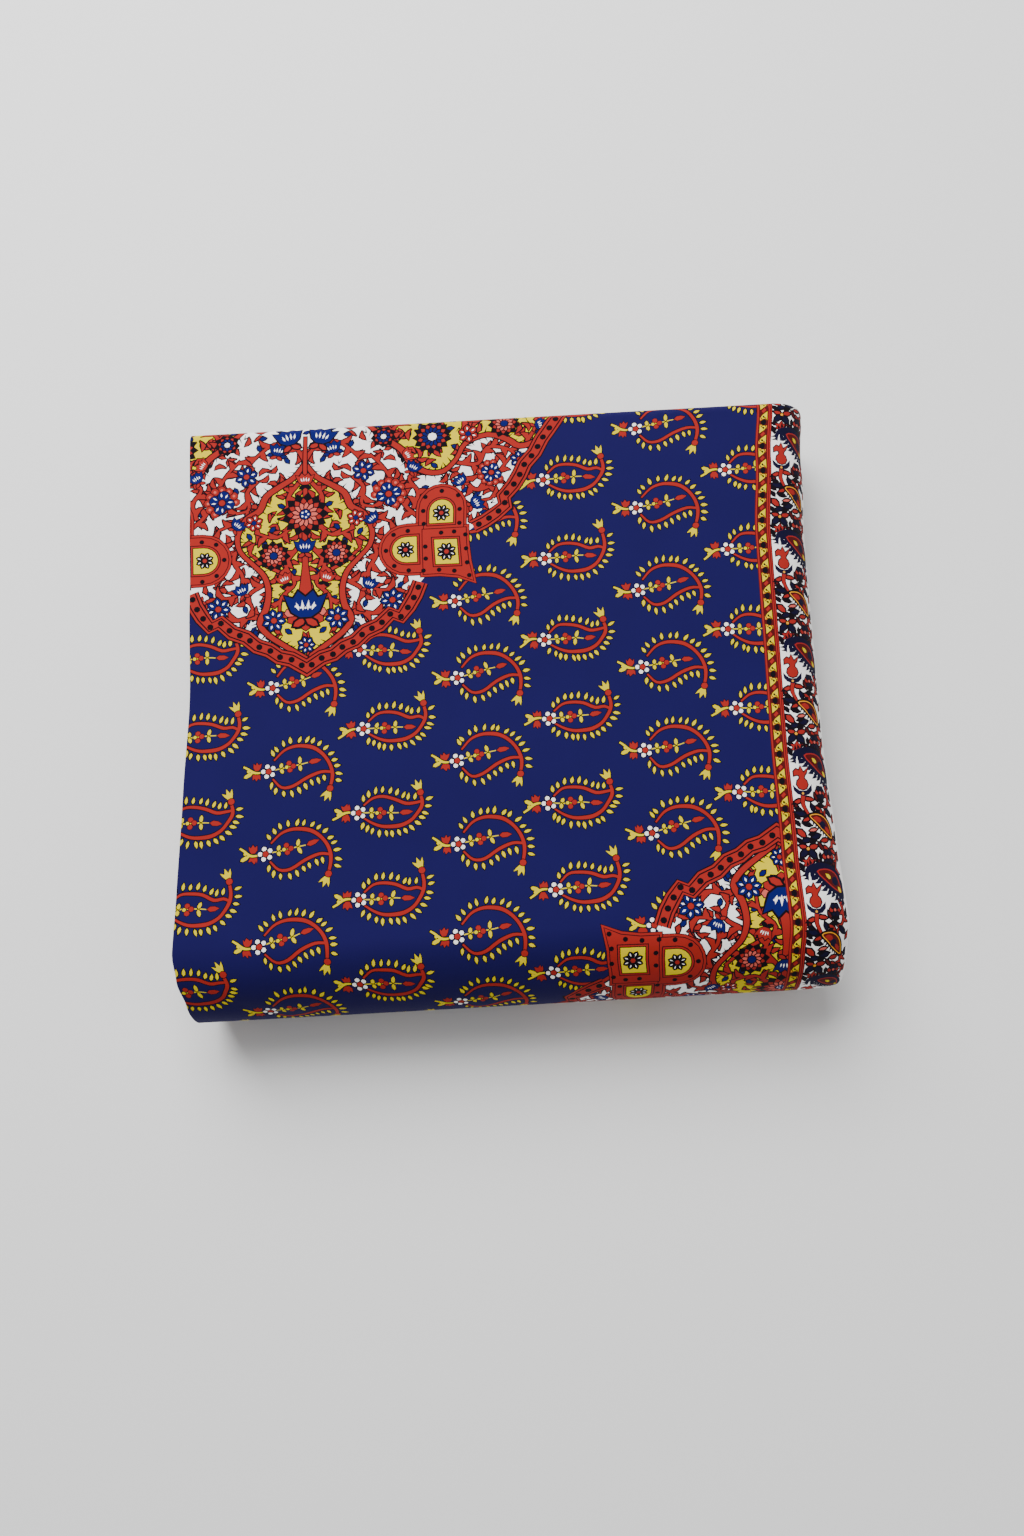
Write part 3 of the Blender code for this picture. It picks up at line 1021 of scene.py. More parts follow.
def scroll_repeat():
    """One repeat of the scroll band: a dark dot, then a red lozenge between two curls and two bars."""
    curl = [-1.6 + 0.9j, -1.0 + 2.7j, -0.3 + 1.8j, 0.8 + 1.9j, 1.25 + 2.9j, 0.6 + 4.0j, -1.6 + 5.7j]
    notch = (-0.9 - 0.7j, 0.4 - 0.3j, 0.5 + 0.5j, -0.1 + 0.7j, -0.4 + 0.1j)
    shapes = [("gold", [-1.7 + 9.6j, 1.7 + 9.2j, 1.7 + 10.6j, -1.7 + 11.4j])]
    shapes.append(("gold", [-1.7 + 1.1j, 1.7 + 1.9j, 1.7 + 3.3j, -1.7 + 2.9j]))
    shapes.append(("red", [-1.1 + 6.5j, 0.3 + 4.9j, 1.1 + 6.0j, -0.3 + 7.6j]))
    for outline in (curl, [1j * SCROLL_REPEAT - point for point in curl]):
        shapes += [("brown", grow(outline, 0.35)), ("yellow", outline)]
    for at, turn in ((0.1 + 2.9j, 1.0), (-0.1 + 9.6j, -1.0)):
        shapes.append(("ink", [at + turn * point for point in notch]))
    return shapes + [("ink", [complex(point.real, point.imag * 1.3) for point in disc(0j, 1.25, 9)])]


FLAME = (0.0 + 2.5j, -1.7 + 1.9j, -2.6 + 0.2j, -2.2 - 1.5j, -1.0 - 2.6j, -1.1 - 3.9j, -2.1 - 4.3j,
         -3.5 - 3.9j, -3.5 - 5.9j, -2.3 - 7.0j, -0.9 - 6.3j, -0.1 - 8.4j, 0.7 - 6.2j, 1.2 - 5.3j,
         3.7 - 7.8j, 2.6 - 5.3j, 1.5 - 4.0j, 1.1 - 2.7j, 2.3 - 1.5j, 2.7 + 0.2j, 1.8 + 1.9j)
CRESCENT = (-4.4 + 0.3j, -3.9 + 2.7j, -2.5 + 4.3j, 0.0 + 5.1j, 2.6 + 4.4j, 4.2 + 2.7j, 4.6 + 0.1j,
            3.2 + 1.8j, 1.9 + 3.0j, 0.0 + 3.4j, -1.9 + 3.0j, -3.1 + 2.0j)


def vase_bloom():
    """The red bloom with a flame-shaped top that stands in a dark crescent."""
    middle = 1.1 - 0.4j
    shapes = [("night", grow([middle + point for point in CRESCENT], 0.3))]
    shapes += inked("red", [middle + point for point in FLAME], 0.5)
    return shapes + [("gold", disc(middle - 0.2 + 4.2j, 0.6, 6))]


def boteh(dice):
    """The large dark paisley leaf, toothed all round, with a red line and yellow drops inside."""
    outline = bend([-0.8 - 9.6j, -2.2 - 12.6j, -0.8 - 16.0j, 4.0 - 17.6j, 9.4 - 17.2j, 14.0 - 15.2j,
                    17.6 - 11.2j, 18.8 - 6.0j, 17.0 - 1.4j, 11.8 - 4.0j, 7.6 - 6.2j, 4.8 - 9.6j,
                    2.0 - 12.6j, -0.2 - 13.0j], 3, True)
    inner = [3.7 - 13.6j, 9.4 - 14.6j, 14.4 - 12.0j, 16.2 - 5.2j, 12.4 - 6.0j, 8.6 - 8.6j]
    inner = bend(inner, 3, True)
    lower = [-0.4 - 12.4j, 2.0 - 12.2j, 4.8 - 9.4j, 7.6 - 6.0j, 11.8 - 3.6j, 16.4 - 1.2j]
    upper = [-1.0 - 10.4j, -2.2 - 13.4j, -0.8 - 16.2j, 4.0 - 17.6j, 9.4 - 17.2j, 14.0 - 15.2j]
    shapes = []
    for at, ahead in spaced(bend(lower), 10, 0.03, 0.97):
        tip = at + 1j * ahead * dice.uniform(2.5, 3.2)
        shapes.append(("night", hook(at - 1.6j * ahead, tip, 2.2, -0.22)))
    shapes += hair_strokes(upper, 2.4, 14, -1.0, dice, 1.5)
    shapes += [("night", outline), ("red", grow(inner, 0.3)), ("brown", grow(inner, -0.3))]
    shapes.append(("yellow", petal(7.6 - 12.8j, 10.2 - 10.6j, 2.0, 0.7)))
    shapes.append(("night", disc(12.8 - 9.6j, 2.1, 7)))
    return shapes + [("yellow", petal(14.2 - 7.4j, 16.0 - 4.6j, 1.9, 0.6))]


def gold_leaf(dice):
    """The stem down from the vase and the leaf with a golden edge that it carries."""
    stem = bend([0.9 + 4.6j, 0.4 + 9.0j, 2.9 + 14.0j], 3)
    leaf = [2.7 + 13.8j, 7.6 + 12.9j, 12.0 + 15.0j, 14.4 + 19.0j, 14.4 + 23.6j, 9.8 + 20.8j, 6.2 + 17.4j]
    leaf = bend(leaf, 3, True)
    shapes = hair_strokes([4.4 + 16.6j, 8.2 + 20.6j, 13.4 + 24.0j], 2.0, 8, 1.0, dice)
    shapes += inked("red", strap(stem, (1.9, 1.5, 0.9)), 0.35)
    shapes += [("ink", grow(leaf, 0.9)), ("gold", leaf), ("brown", grow(leaf, -0.45))]
    shapes += [("red", petal(4.4 + 14.6j, 9.0 + 16.0j, 2.8, 0.6)), ("night", disc(9.4 + 17.8j, 1.9, 7))]
    return shapes + [("red", petal(13.4 + 21.6j, 10.6 + 18.4j, 2.2, 0.5))]


# The single leaves and petals of the border: dye, root, tip and width
BORDER_LEAVES = (
    ("red", 0.0 + 6.6j, -3.8 + 8.2j, 1.7),
    ("red", 1.0 + 6.0j, 6.0 + 6.6j, 1.7),
    ("brown", -3.2 + 8.6j, -2.2 + 10.6j, 1.0),
    ("night", -3.6 + 12.2j, 1.2 + 13.4j, 2.5),
    ("night", 4.2 + 8.6j, 5.4 + 12.0j, 1.5),
    ("red", 6.4 + 9.6j, 10.2 + 12.4j, 1.8),
    ("ink", 7.4 + 9.0j, 11.6 + 9.0j, 1.2),
    ("red", 3.0 + 14.8j, -0.4 + 16.2j, 1.6),
    ("ink", -0.8 + 17.2j, 3.4 + 18.2j, 1.3),
    ("rose", 2.0 + 20.6j, 6.0 + 19.8j, 1.4),
    ("ink", -3.4 + 16.2j, -2.2 + 18.2j, 0.8),
    ("red", -3.4 + 19.8j, 0.0 + 23.4j, 2.6),
    ("night", -1.6 + 25.2j, 2.0 + 24.4j, 2.0),
    ("night", 2.8 + 23.6j, 7.2 + 22.4j, 2.4),
    ("ink", 2.2 + 25.8j, 4.4 + 25.2j, 0.9),
    ("red", 7.4 + 25.0j, 12.0 + 24.2j, 1.8),
    ("red", 0.4 + 28.4j, -3.2 + 27.0j, 1.9),
    ("red", 0.9 + 28.4j, 5.4 + 27.2j, 2.3),
    ("night", 0.3 + 29.0j, -2.9 + 32.0j, 2.6),
    ("night", 1.0 + 29.2j, 4.2 + 32.8j, 2.8),
    ("brown", 3.6 + 33.8j, 7.4 + 35.6j, 1.5),
    ("ink", 4.8 + 36.2j, 8.4 + 37.4j, 1.0),
    ("ink", -3.4 + 35.2j, -2.4 + 38.0j, 0.9),
    ("brown", 11.4 + 35.8j, 14.6 + 34.6j, 1.4),
    ("red", 8.2 + 27.4j, 11.0 + 28.6j, 1.4),
    ("ink", 18.4 + 2.0j, 17.0 + 6.0j, 1.5),
    ("red", 18.6 + 12.0j, 16.8 + 16.0j, 1.6),
    ("night", 18.8 + 20.0j, 17.0 + 24.0j, 1.8),
    ("red", 18.4 + 29.0j, 17.4 + 33.0j, 1.6),
    ("ink", -3.2 + 10.6j, -0.8 + 11.2j, 0.9),
    ("brown", 6.4 + 3.6j, 8.0 + 7.4j, 1.3),
    ("ink", 8.2 + 6.6j, 12.0 + 6.8j, 1.1),
    ("ink", 5.6 + 13.2j, 8.4 + 11.4j, 0.9),
    ("night", 12.4 + 10.4j, 16.0 + 13.4j, 2.0),
    ("ink", -3.4 + 13.8j, -2.0 + 15.0j, 0.8),
    ("ink", 4.4 + 21.6j, 1.6 + 22.4j, 0.9),
    ("brown", 5.6 + 25.4j, 8.4 + 29.4j, 1.4),
    ("night", 7.2 + 35.0j, 10.6 + 38.0j, 1.6),
    ("red", 12.8 + 28.6j, 16.0 + 30.4j, 1.6),
    ("ink", 6.2 + 30.8j, 6.4 + 33.2j, 0.9),
    ("ink", -3.4 + 33.2j, -1.4 + 33.8j, 0.9),
    ("ink", 0.6 + 38.0j, 3.4 + 38.6j, 0.9),
    ("ink", -3.2 + 24.2j, -2.4 + 25.8j, 0.9),
)


def border_flowers(dice):
    """The flowers, leaves and stems between the larger motifs of the border."""
    shapes = leafy_stem([13.6 - 1.6j, 15.2 + 3.0j, 14.4 + 8.0j, 11.0 + 12.4j], 1.3, 3.6, 5, dice)
    shapes += leafy_stem([15.4 + 22.4j, 13.8 + 27.4j, 15.8 + 32.0j, 14.4 + 37.0j], 1.3, 3.6, 5, dice)
    for dye, root, tip, width in BORDER_LEAVES:
        shapes += inked(dye, petal(root, tip, width, 0.5), 0.75)
    for at, radius in ((10.3 + 3.1j, 2.9), (10.6 + 32.0j, 3.2)):
        for step in range(6):
            ring = at + cmath.rect(radius * 0.68, 1.05 * step)
            shapes += inked("night" if step % 3 else "red", disc(ring, radius * 0.36, 6), 0.6)
        shapes += inked("rose", disc(at, radius * 0.24, 6), 0.5)
    star = [cmath.rect(3.5 if step % 2 else 1.9, math.pi * step / 6.0) for step in range(12)]
    shapes += inked("red", [complex(0.6 + point.real, 34.92 + 0.8 * point.imag) for point in star])
    return shapes + inked("gold", disc(0.6 + 28.6j, 0.75, 6), 0.45)


def border_repeat(dice):
    """One repeat of the white band, about the middle of its vase bloom."""
    return border_flowers(dice) + boteh(dice) + gold_leaf(dice) + vase_bloom()


def border():
    """The border: its grounds, then the scrolls and the flowers over them."""
    dice = random.Random(BORDER_SEED)
    shapes = border_grounds()
    for step in range(-1, int(CLOTH_LONG / SCROLL_REPEAT) + 2):
        shapes += placed(scroll_repeat(), complex(SCROLL_MIDDLE, FIRST_SCROLL + SCROLL_REPEAT * step))
    for step in range(-1, int(CLOTH_LONG / VASE_REPEAT) + 2):
        shapes += placed(border_repeat(dice), complex(VASE_MIDDLE, FIRST_VASE + VASE_REPEAT * step))
    return shapes + stripe("white", SELVEDGE, CLOTH_WIDE + 1.0)


# The printed cloth

# Halfway between the first medallion and the one turned half round at the front right, and the
# line beneath where that one is mirrored
HALFWAY = (complex(118.0, 68.5) + complex(194.8, 262.4)) / 2.0
MIRROR_LINE = 340.0

# The least dark shape and the least bright one that are kept beneath, in square millimetres
LEAST_EDGE = 14.0
LEAST_SHAPE = 1.6

# The two pieces of the outer stretch, which meet along a printed line
CLOTH_PIECES = (
    # name, from across, to across
    ("printed_cloth", 0.0, BORDER_SEAM),
    ("printed_border", BORDER_SEAM, CLOTH_WIDE),
)


def outside_of(shapes, ground):
    """The shapes that aren't wholly hidden under a ground that is printed later."""
    low, high = min(point.imag for point in ground), max(point.imag for point in ground)
    shown = []
    for dye, outline in shapes:
        beside = any(point.imag < low or point.imag > high for point in outline)
        if beside or not all(within(point, ground) for point in outline):
            shown.append((dye, outline))
    return shown


def plainer(shapes):
    """The print beneath, where the cloth lies down: without its finest edges and strokes."""
    kept = []
    for dye, outline in shapes:
        if min(point.imag for point in outline) < FINE_UNTIL:
            kept.append((dye, outline))
        elif abs(area_of(outline)) > (LEAST_EDGE if dye == "ink" else LEAST_SHAPE):
            kept.append((dye, outline[::2] if 7 < len(outline) < 20 else outline))
    return kept


def second(place):
    """The same place of the second medallion, at the front right."""
    return 2.0 * HALFWAY - place


def third(place):
    """The same place of the third medallion, beneath."""
    return complex(second(place).real, 2.0 * MIRROR_LINE - second(place).imag)


def medallion_reach():
    """The outline of the first medallion's right half."""
    band = at_axis(BAND_LOWER) + [AXIS + ORNAMENT] + at_axis(BAND_UPPER)
    inner = [point - polar(BAND / 2.0 + 0.5, 45.0) for point in band]
    return [complex(AXIS, -40.0), complex(AXIS, 112.0)] + inner + [complex(AXIS + 115.0, -40.0)]


def whole_print():
    """All printed shapes, each laid over those before it."""
    shapes = paisley_field()
    reach = medallion_reach()
    for rule in (complex, mirror, second, third):
        shapes = outside_of(shapes, [rule(point) for point in reach])
    drawn = medallion()
    shapes += drawn
    for dye, outline in moved(drawn, third):
        if max(point.imag for point in outline) > MIRROR_LINE:
            shapes.append((dye, outline))
    for dye, outline in moved(drawn, second):
        if min(point.imag for point in outline) < MIRROR_LINE:
            shapes.append((dye, outline))
    shapes = [shape for shape in shapes if min(point.real for point in shape[1]) < BORDER_FROM]
    return plainer(shapes + border())


# The steps of the net that lets the flat cloth bend, in millimetres: along it at its back edge,
# round the front fold and elsewhere, and across it on the border's shoulder and elsewhere
BACK_STEP = 0.9
ROLL_STEP = 2.4
FLAT_STEP = 6.0
SHOULDER_STEP = 2.4
WIDE_STEP = 8.0


def cloth_net():
    """The outline of the flat cloth and the net of points inside it, close enough for its folds."""
    rows = [0.0]
    while rows[-1] < CLOTH_LONG - 4.0:
        near_back, on_roll = rows[-1] < 6.0, ROLL_FROM - 4.0 < rows[-1] < ROLL_TO
        rows.append(rows[-1] + (BACK_STEP if near_back else ROLL_STEP if on_roll else FLAT_STEP))
    rows.append(CLOTH_LONG)
    columns = [0.0]
    while columns[-1] < CLOTH_WIDE - SHOULDER_STEP:
        columns.append(columns[-1] + (SHOULDER_STEP if columns[-1] > 264.0 else WIDE_STEP))
    columns.append(CLOTH_WIDE)
    near = [complex(across, 0.0) for across in columns[:-1]]
    right = [complex(CLOTH_WIDE, along) for along in rows[:-1]]
    far = [complex(across, CLOTH_LONG) for across in columns[:0:-1]]
    left = [complex(0.0, along) for along in rows[:0:-1]]
    inside = [complex(across, along) for across in columns[1:-1] for along in rows[1:-1]]
    return near + right + far + left, inside


def on_cloth(outline):
    """True if a shape reaches the cloth."""
    across, along = [point.real for point in outline], [point.imag for point in outline]
    beside = max(across) <= 0.0 or min(across) >= CLOTH_WIDE
    return not beside and max(along) > 0.0 and min(along) < CLOTH_LONG


def flat_vector(place):
    return Vector((place.real, place.imag))


# The longest line of the print that is laid round the bundle in one straight piece, how far off
# it a point may lie as a share of it, and how near two points of a cut are taken as one
LONGEST_LINE = 4.0
STRAIGHT_ENOUGH = 0.012
CUT_NEAR = 1e-4


def straightened(places, lines):
    """The lines without the points that lie partway along a short straight one."""
    beside = {}
    for near, far in lines:
        beside.setdefault(near, set()).add(far)
        beside.setdefault(far, set()).add(near)
    for index in list(beside):
        if len(beside[index]) == 2:
            near, far = beside[index]
            run, step = places[far] - places[near], places[index] - places[near]
            apart = abs(run.x * step.y - run.y * step.x)
            straight = apart < STRAIGHT_ENOUGH * run.length
            if straight and run.length < LONGEST_LINE and far not in beside[near]:
                for end, other in ((near, far), (far, near)):
                    beside[end].remove(index)
                    beside[end].add(other)
                del beside[index]
    return [(near, far) for near in beside for far in beside[near] if near < far]


def coloured_cut(shapes, edge):
    """The first cut, along every outline: places, and triangles with the dye that lies on top."""
    loops = [edge] + [outline if area_of(outline) > 0.0 else outline[::-1] for dye, outline in shapes]
    dyes = [DYE_NAMES.index("navy")] + [DYE_NAMES.index(dye) for dye, outline in shapes]
    points, numbered = [], []
    for loop in loops:
        numbered.append(list(range(len(points), len(points) + len(loop))))
        points += [flat_vector(point) for point in loop]
    places, _, triangles, _, _, owners = delaunay_2d_cdt(points, [], numbered, 0, CUT_NEAR, True)
    return places, [(face, dyes[max(own)]) for face, own in zip(triangles, owners) if 0 in own]


def dye_lines(places, triangles):
    """The lines where two dyes meet, and the cloth's own edges."""
    sides = {}
    for face, dye in triangles:
        for near, far in zip(face, face[1:] + face[:1]):
            sides.setdefault((min(near, far), max(near, far)), []).append(dye)
    met = [pair for pair, dyes in sides.items() if len(dyes) == 1 or dyes[0] != dyes[1]]
    return straightened(places, met)


def cut_flat_cloth(shapes):
    """Cuts the flat cloth into triangles, each of one dye: its places, and triangles with dyes.

    The first cut finds which shape lies on top in each triangle. The second one keeps only the
    lines where two dyes meet, adds the net that lets the cloth bend, and parts the two pieces.
    """
    edge, net = cloth_net()
    places, first = coloured_cut([shape for shape in shapes if on_cloth(shape[1])], edge)
    lines = dye_lines(places, first)
    used = sorted({index for pair in lines for index in pair})
    renumbered = {index: step for step, index in enumerate(used)}
    lines = [(renumbered[near], renumbered[far]) for near, far in lines]
    chosen = [places[index] for index in used] + [flat_vector(point) for point in net + edge]
    seam = [Vector((BORDER_SEAM, point.imag)) for point in edge if point.real == 0.0]
    lines += [(len(chosen) + step, len(chosen) + step + 1) for step in range(len(seam) - 1)]
    finder = BVHTree.FromPolygons([place.to_3d() for place in places], [face for face, dye in first])
    places, _, triangles, _, _, _ = delaunay_2d_cdt(chosen + seam, lines, [], 0, CUT_NEAR, False)
    coloured = []
    for face in triangles:
        middle = (places[face[0]] + places[face[1]] + places[face[2]]) / 3.0
        found = finder.ray_cast(Vector((middle.x, middle.y, 1.0)), Vector((0.0, 0.0, -1.0)))[2]
        if found is not None:
            coloured.append((face, first[found][1]))
    return places, coloured


# How the cut edge of the outer leaf is rounded: its share of the wall, and how far it stands out
RIM = (
    # through the wall, out in millimetres
    (0.30, 0.4),
    (0.75, 0.3),
    (1.00, -0.4),
)
AT_EDGE = 0.01
LEVEL = Vector((0.0, 0.0, 0.0))

# Where a piece's faces lie in its texture: the outside from its margin on, with most of the
# length for what shows, then the rows of the rim, and the plain inside in a strip beside them
OUTSIDE_MARGIN = (0.006, 0.005)
OUTSIDE_SHARE = 0.88
SHOWN_SHARE = 0.7
BENEATH_SHARE = 0.29
RIM_FROM = 0.905
RIM_ROW = 0.004
INSIDE_FROM = (0.93, 0.004)
INSIDE_SHARES = (0.064, 0.992)


def outside_texture(place, low, high):
    shown = min(place.y, FINE_UNTIL) / FINE_UNTIL
    beneath = max(0.0, place.y - FINE_UNTIL) / (CLOTH_LONG - FINE_UNTIL)
    across = OUTSIDE_MARGIN[0] + OUTSIDE_SHARE * (place.x - low) / (high - low)
    return across, OUTSIDE_MARGIN[1] + SHOWN_SHARE * shown + BENEATH_SHARE * beneath


def inside_texture(place, low, high):
    across = INSIDE_FROM[0] + INSIDE_SHARES[0] * (place.x - low) / (high - low)
    return across, INSIDE_FROM[1] + INSIDE_SHARES[1] * place.y / CLOTH_LONG


class Shell:
    """A part of the outer cloth in the making, with what its points and faces carry."""

    def __init__(self, low, high):
        self.low, self.high = low, high
        self.bm = bmesh.new()
        self.places, self.normals, self.dyes = {}, {}, {}
        self.on_sheet, self.in_texture = [], []

    def lay(self, place, depth, direction=LEVEL, out=0.0):
        """A point of the wrapped cloth, this deep in its wall and moved out along a direction."""
        point, outward = cloth_surface(place.x, place.y, depth)
        vert = self.bm.verts.new(point + direction * out * MM)
        self.places[vert] = place
        self.normals[vert] = outward
        return vert

    def fill(self, corners, dye, texture):
        """A face of one dye, whose corners know their place on the sheet and in the texture."""
        self.dyes[self.bm.faces.new(corners)] = dye
        for vert, spot in zip(corners, texture):
            self.on_sheet.extend(self.places[vert] * MM)
            self.in_texture.extend(spot)

    def lay_outside(self, flat, coloured):
        """The printed outside."""
        laid = {index: self.lay(flat[index], 0.0) for face, dye in coloured for index in face}
        for face, dye in coloured:
            corners = [laid[index] for index in reversed(face)]
            spots = [outside_texture(self.places[vert], self.low, self.high) for vert in corners]
            self.fill(corners, dye, spots)

    def lay_rim(self):
        """The rounded rim, which carries the print on: it gives the loop of its inner points."""
        rim = rim_loop(self.bm)
        dyes = [edge_dye(vert, after, self.dyes) for vert, after in zip(rim, rim[1:] + rim[:1])]
        ring = rim
        for row, (share, out) in enumerate(RIM):
            lower = []
            for vert in rim:
                sideways = rim_direction(self.places[vert])
                made = self.lay(self.places[vert], OUTER_WALL * share, sideways, out)
                self.normals[made] = (self.normals[made] * (0.9 - 2.0 * share) + sideways).normalized()
                lower.append(made)
            near = RIM_FROM + RIM_ROW * row
            far = RIM_FROM + RIM_ROW * (row + 1)
            for step, dye in enumerate(dyes):
                ahead = (step + 1) % len(rim)
                start, end = step / len(rim), (step + 1) / len(rim)
                spots = ((near, start), (near, end), (far, end), (far, start))
                self.fill((ring[step], ring[ahead], lower[ahead], lower[step]), dye, spots)
            ring = lower
        return ring

    def lay_inside(self, ring):
        """The plain inside of the wall, within the ring."""
        if area_of([complex(self.places[vert].x, self.places[vert].y) for vert in ring]) < 0.0:
            ring = ring[::-1]
        low, high = self.low + 1.0, self.high - 1.0
        net = [flat_vector(point) for point in cloth_net()[1][::3] if low < point.real < high]
        loop = [self.places[vert].copy() for vert in ring]
        cut = delaunay_2d_cdt(loop + net, [], [list(range(len(loop)))], 0, 1e-5, True)
        spots, triangles, sources, owners = cut[0], cut[2], cut[3], cut[5]
        inside = []
        for spot, source in zip(spots, sources):
            if source and source[0] < len(ring):
                inside.append(ring[source[0]])
            else:
                inside.append(self.lay(spot, OUTER_WALL))
                self.normals[inside[-1]] = -self.normals[inside[-1]]
        for face, own in zip(triangles, owners):
            if own and len({inside[index] for index in face}) == 3:
                corners = [inside[index] for index in face]
                texture = [inside_texture(self.places[vert], self.low, self.high) for vert in corners]
                self.fill(corners, DYE_NAMES.index("navy"), texture)

    def finished(self, name):
        """The object, with its place on the sheet, its texture's layout, its dyes and shading."""
        directions = [self.normals[vert] for vert in self.bm.verts]
        numbers = [self.dyes[face] for face in self.bm.faces]
        piece = as_object(name, self.bm)
        for layer, spots in (("cloth", self.on_sheet), ("OFBake", self.in_texture)):
            piece.data.uv_layers.new(name=layer).uv.foreach_set("vector", spots)
        colours = piece.data.attributes.new("print", "FLOAT_COLOR", "FACE")
        values = [value for number in numbers for value in DYES[DYE_NAMES[number]]]
        colours.data.foreach_set("color", values)
        piece.data.normals_split_custom_set_from_vertices(directions)
        return piece


def printed_cloth():
    """The outer stretch, in two pieces that meet along a printed line."""
    flat, coloured = cut_flat_cloth(whole_print())
    pieces = []
    for name, low, high in CLOTH_PIECES:
        shell = Shell(low, high)
        middles = [sum(flat[index].x for index in face) / 3.0 for face, dye in coloured]
        shell.lay_outside(flat, [part for part, middle in zip(coloured, middles) if low < middle < high])
        shell.lay_inside(shell.lay_rim())
        pieces.append(shell.finished(name))
    return pieces


def rim_loop(bm):
    """The points round the open edge, in order."""
    edges = [edge for edge in bm.edges if edge.is_boundary]
    start = edges[0].verts[0]
    loop, before, vert = [start], edges[0], edges[0].verts[1]
    while vert is not start:
        loop.append(vert)
        before = next(edge for edge in vert.link_edges if edge.is_boundary and edge is not before)
        vert = before.other_vert(vert)
    face = edges[0].link_faces[0]
    turn = [corner.vert for corner in face.loops]
    ahead = (turn.index(loop[0]) + 1) % len(turn)
    return loop[::-1] if turn[ahead] is loop[1] else loop


def edge_dye(vert, ahead, dye_of):
    """The dye of the face beside an edge of the rim."""
    edge = next(edge for edge in vert.link_edges if edge.other_vert(vert) is ahead)
    return dye_of[edge.link_faces[0]]


def rim_direction(place):
    """Which way is outwards at the cloth's edge, level with the cloth."""
    if place.x < AT_EDGE:
        return Vector((-1.0, 0.0, 0.0))
    if place.x > CLOTH_WIDE - AT_EDGE:
        along = wrap_place(place.y)
        before = bundle_point(LEAF_WIDTH - 0.0005, along, 0.0)
        return (bundle_point(LEAF_WIDTH, along, 0.0) - before).normalized()
    if AT_EDGE < place.y < CLOTH_LONG - AT_EDGE:
        return LEVEL
    return Vector((0.0, 1.0, 0.0))


def as_object(name, bm):
    mesh = bpy.data.meshes.new(name)
    bm.to_mesh(mesh)
    bm.free()
    mesh.shade_smooth()
    piece = bpy.data.objects.new(name, mesh)
    bpy.context.collection.objects.link(piece)
    return piece


# The hidden leaves


def leaf_wave(leaf, along, column):
    """How a hidden leaf's edge wanders in and out along its length."""
    phase = 1.7 * leaf + 2.3 * column
    return 0.0005 * math.sin(9.0 * along + phase) + 0.0003 * math.sin(23.0 * along + 2.1 * phase)


def leaf_edge(inwards, along, column):
    """How far the layered edge stands out at a share of the way in to the middle leaf."""
    place = min(inwards, 0.99999) * HIDDEN_LEAVES
    leaf = int(place)
    profile = SELVEDGE_EDGE if column == 1 else FOLD_EDGE
    back = read_table(profile + ((1.0, profile[0][1]),), place - leaf, 1)
    stands = LEAF_STANDS[leaf][column] + leaf_wave(leaf, along, column)
    settled = smooth(min(1.0, place))
    return settled * (EDGE_INSET + stands) - back


def hidden_point(across, along, inwards):
    """A point of the hidden leaves, from just under the outer stretch in to the middle leaf."""
    depth = OUTER_WALL + SEAM_GAP
    share = top_share(along)
    inset = min(max(across, EDGE_INSET), LEAF_WIDTH - EDGE_INSET)
    outside = bundle_point(inset, along, depth)
    under = bundle_point(inset, WRAP_END - share, depth)
    middle = (bundle_point(inset, share, depth) + under) / 2.0
    point = outside.lerp(middle, inwards)
    if across == 0.0:
        point.x -= leaf_edge(inwards, along, 0)
    if across == LEAF_WIDTH:
        point.x += leaf_edge(inwards, along, 1) + read_table(RIGHT_FACE, share, 1) * smooth(inwards)
    if along in (0.0, WRAP_END):
        point.y += leaf_edge(inwards, across / LEAF_WIDTH, 2) - EDGE_INSET
    return point + STAND


def lay_grid(bm, place, columns, rows):
    """Lays a grid and moves each of its points to place(column, row)."""
    wide, high = len(columns) - 1, len(rows) - 1
    for vert in bmesh.ops.create_grid(bm, x_segments=wide, y_segments=high, size=0.5)["verts"]:
        column = round((vert.co.x + 0.5) * wide)
        row = round((vert.co.y + 0.5) * high)
        vert.co = place(columns[column], rows[row])


def leaf_rows(profile):
    """The shares of the way in to the middle at which the layered edge has its rows."""
    rows = [(leaf + through) / HIDDEN_LEAVES for leaf in range(HIDDEN_LEAVES) for through, back in profile]
    return rows + [1.0]


# How many parts the hidden leaves have along their top and their front fold, and across their
# flat and their shoulder, and how near two of their points are made one
TOP_PARTS = 60
ROLL_PARTS = 24
FLAT_PARTS = 40
SHOULDER_PARTS = 9
MERGED = 0.00002


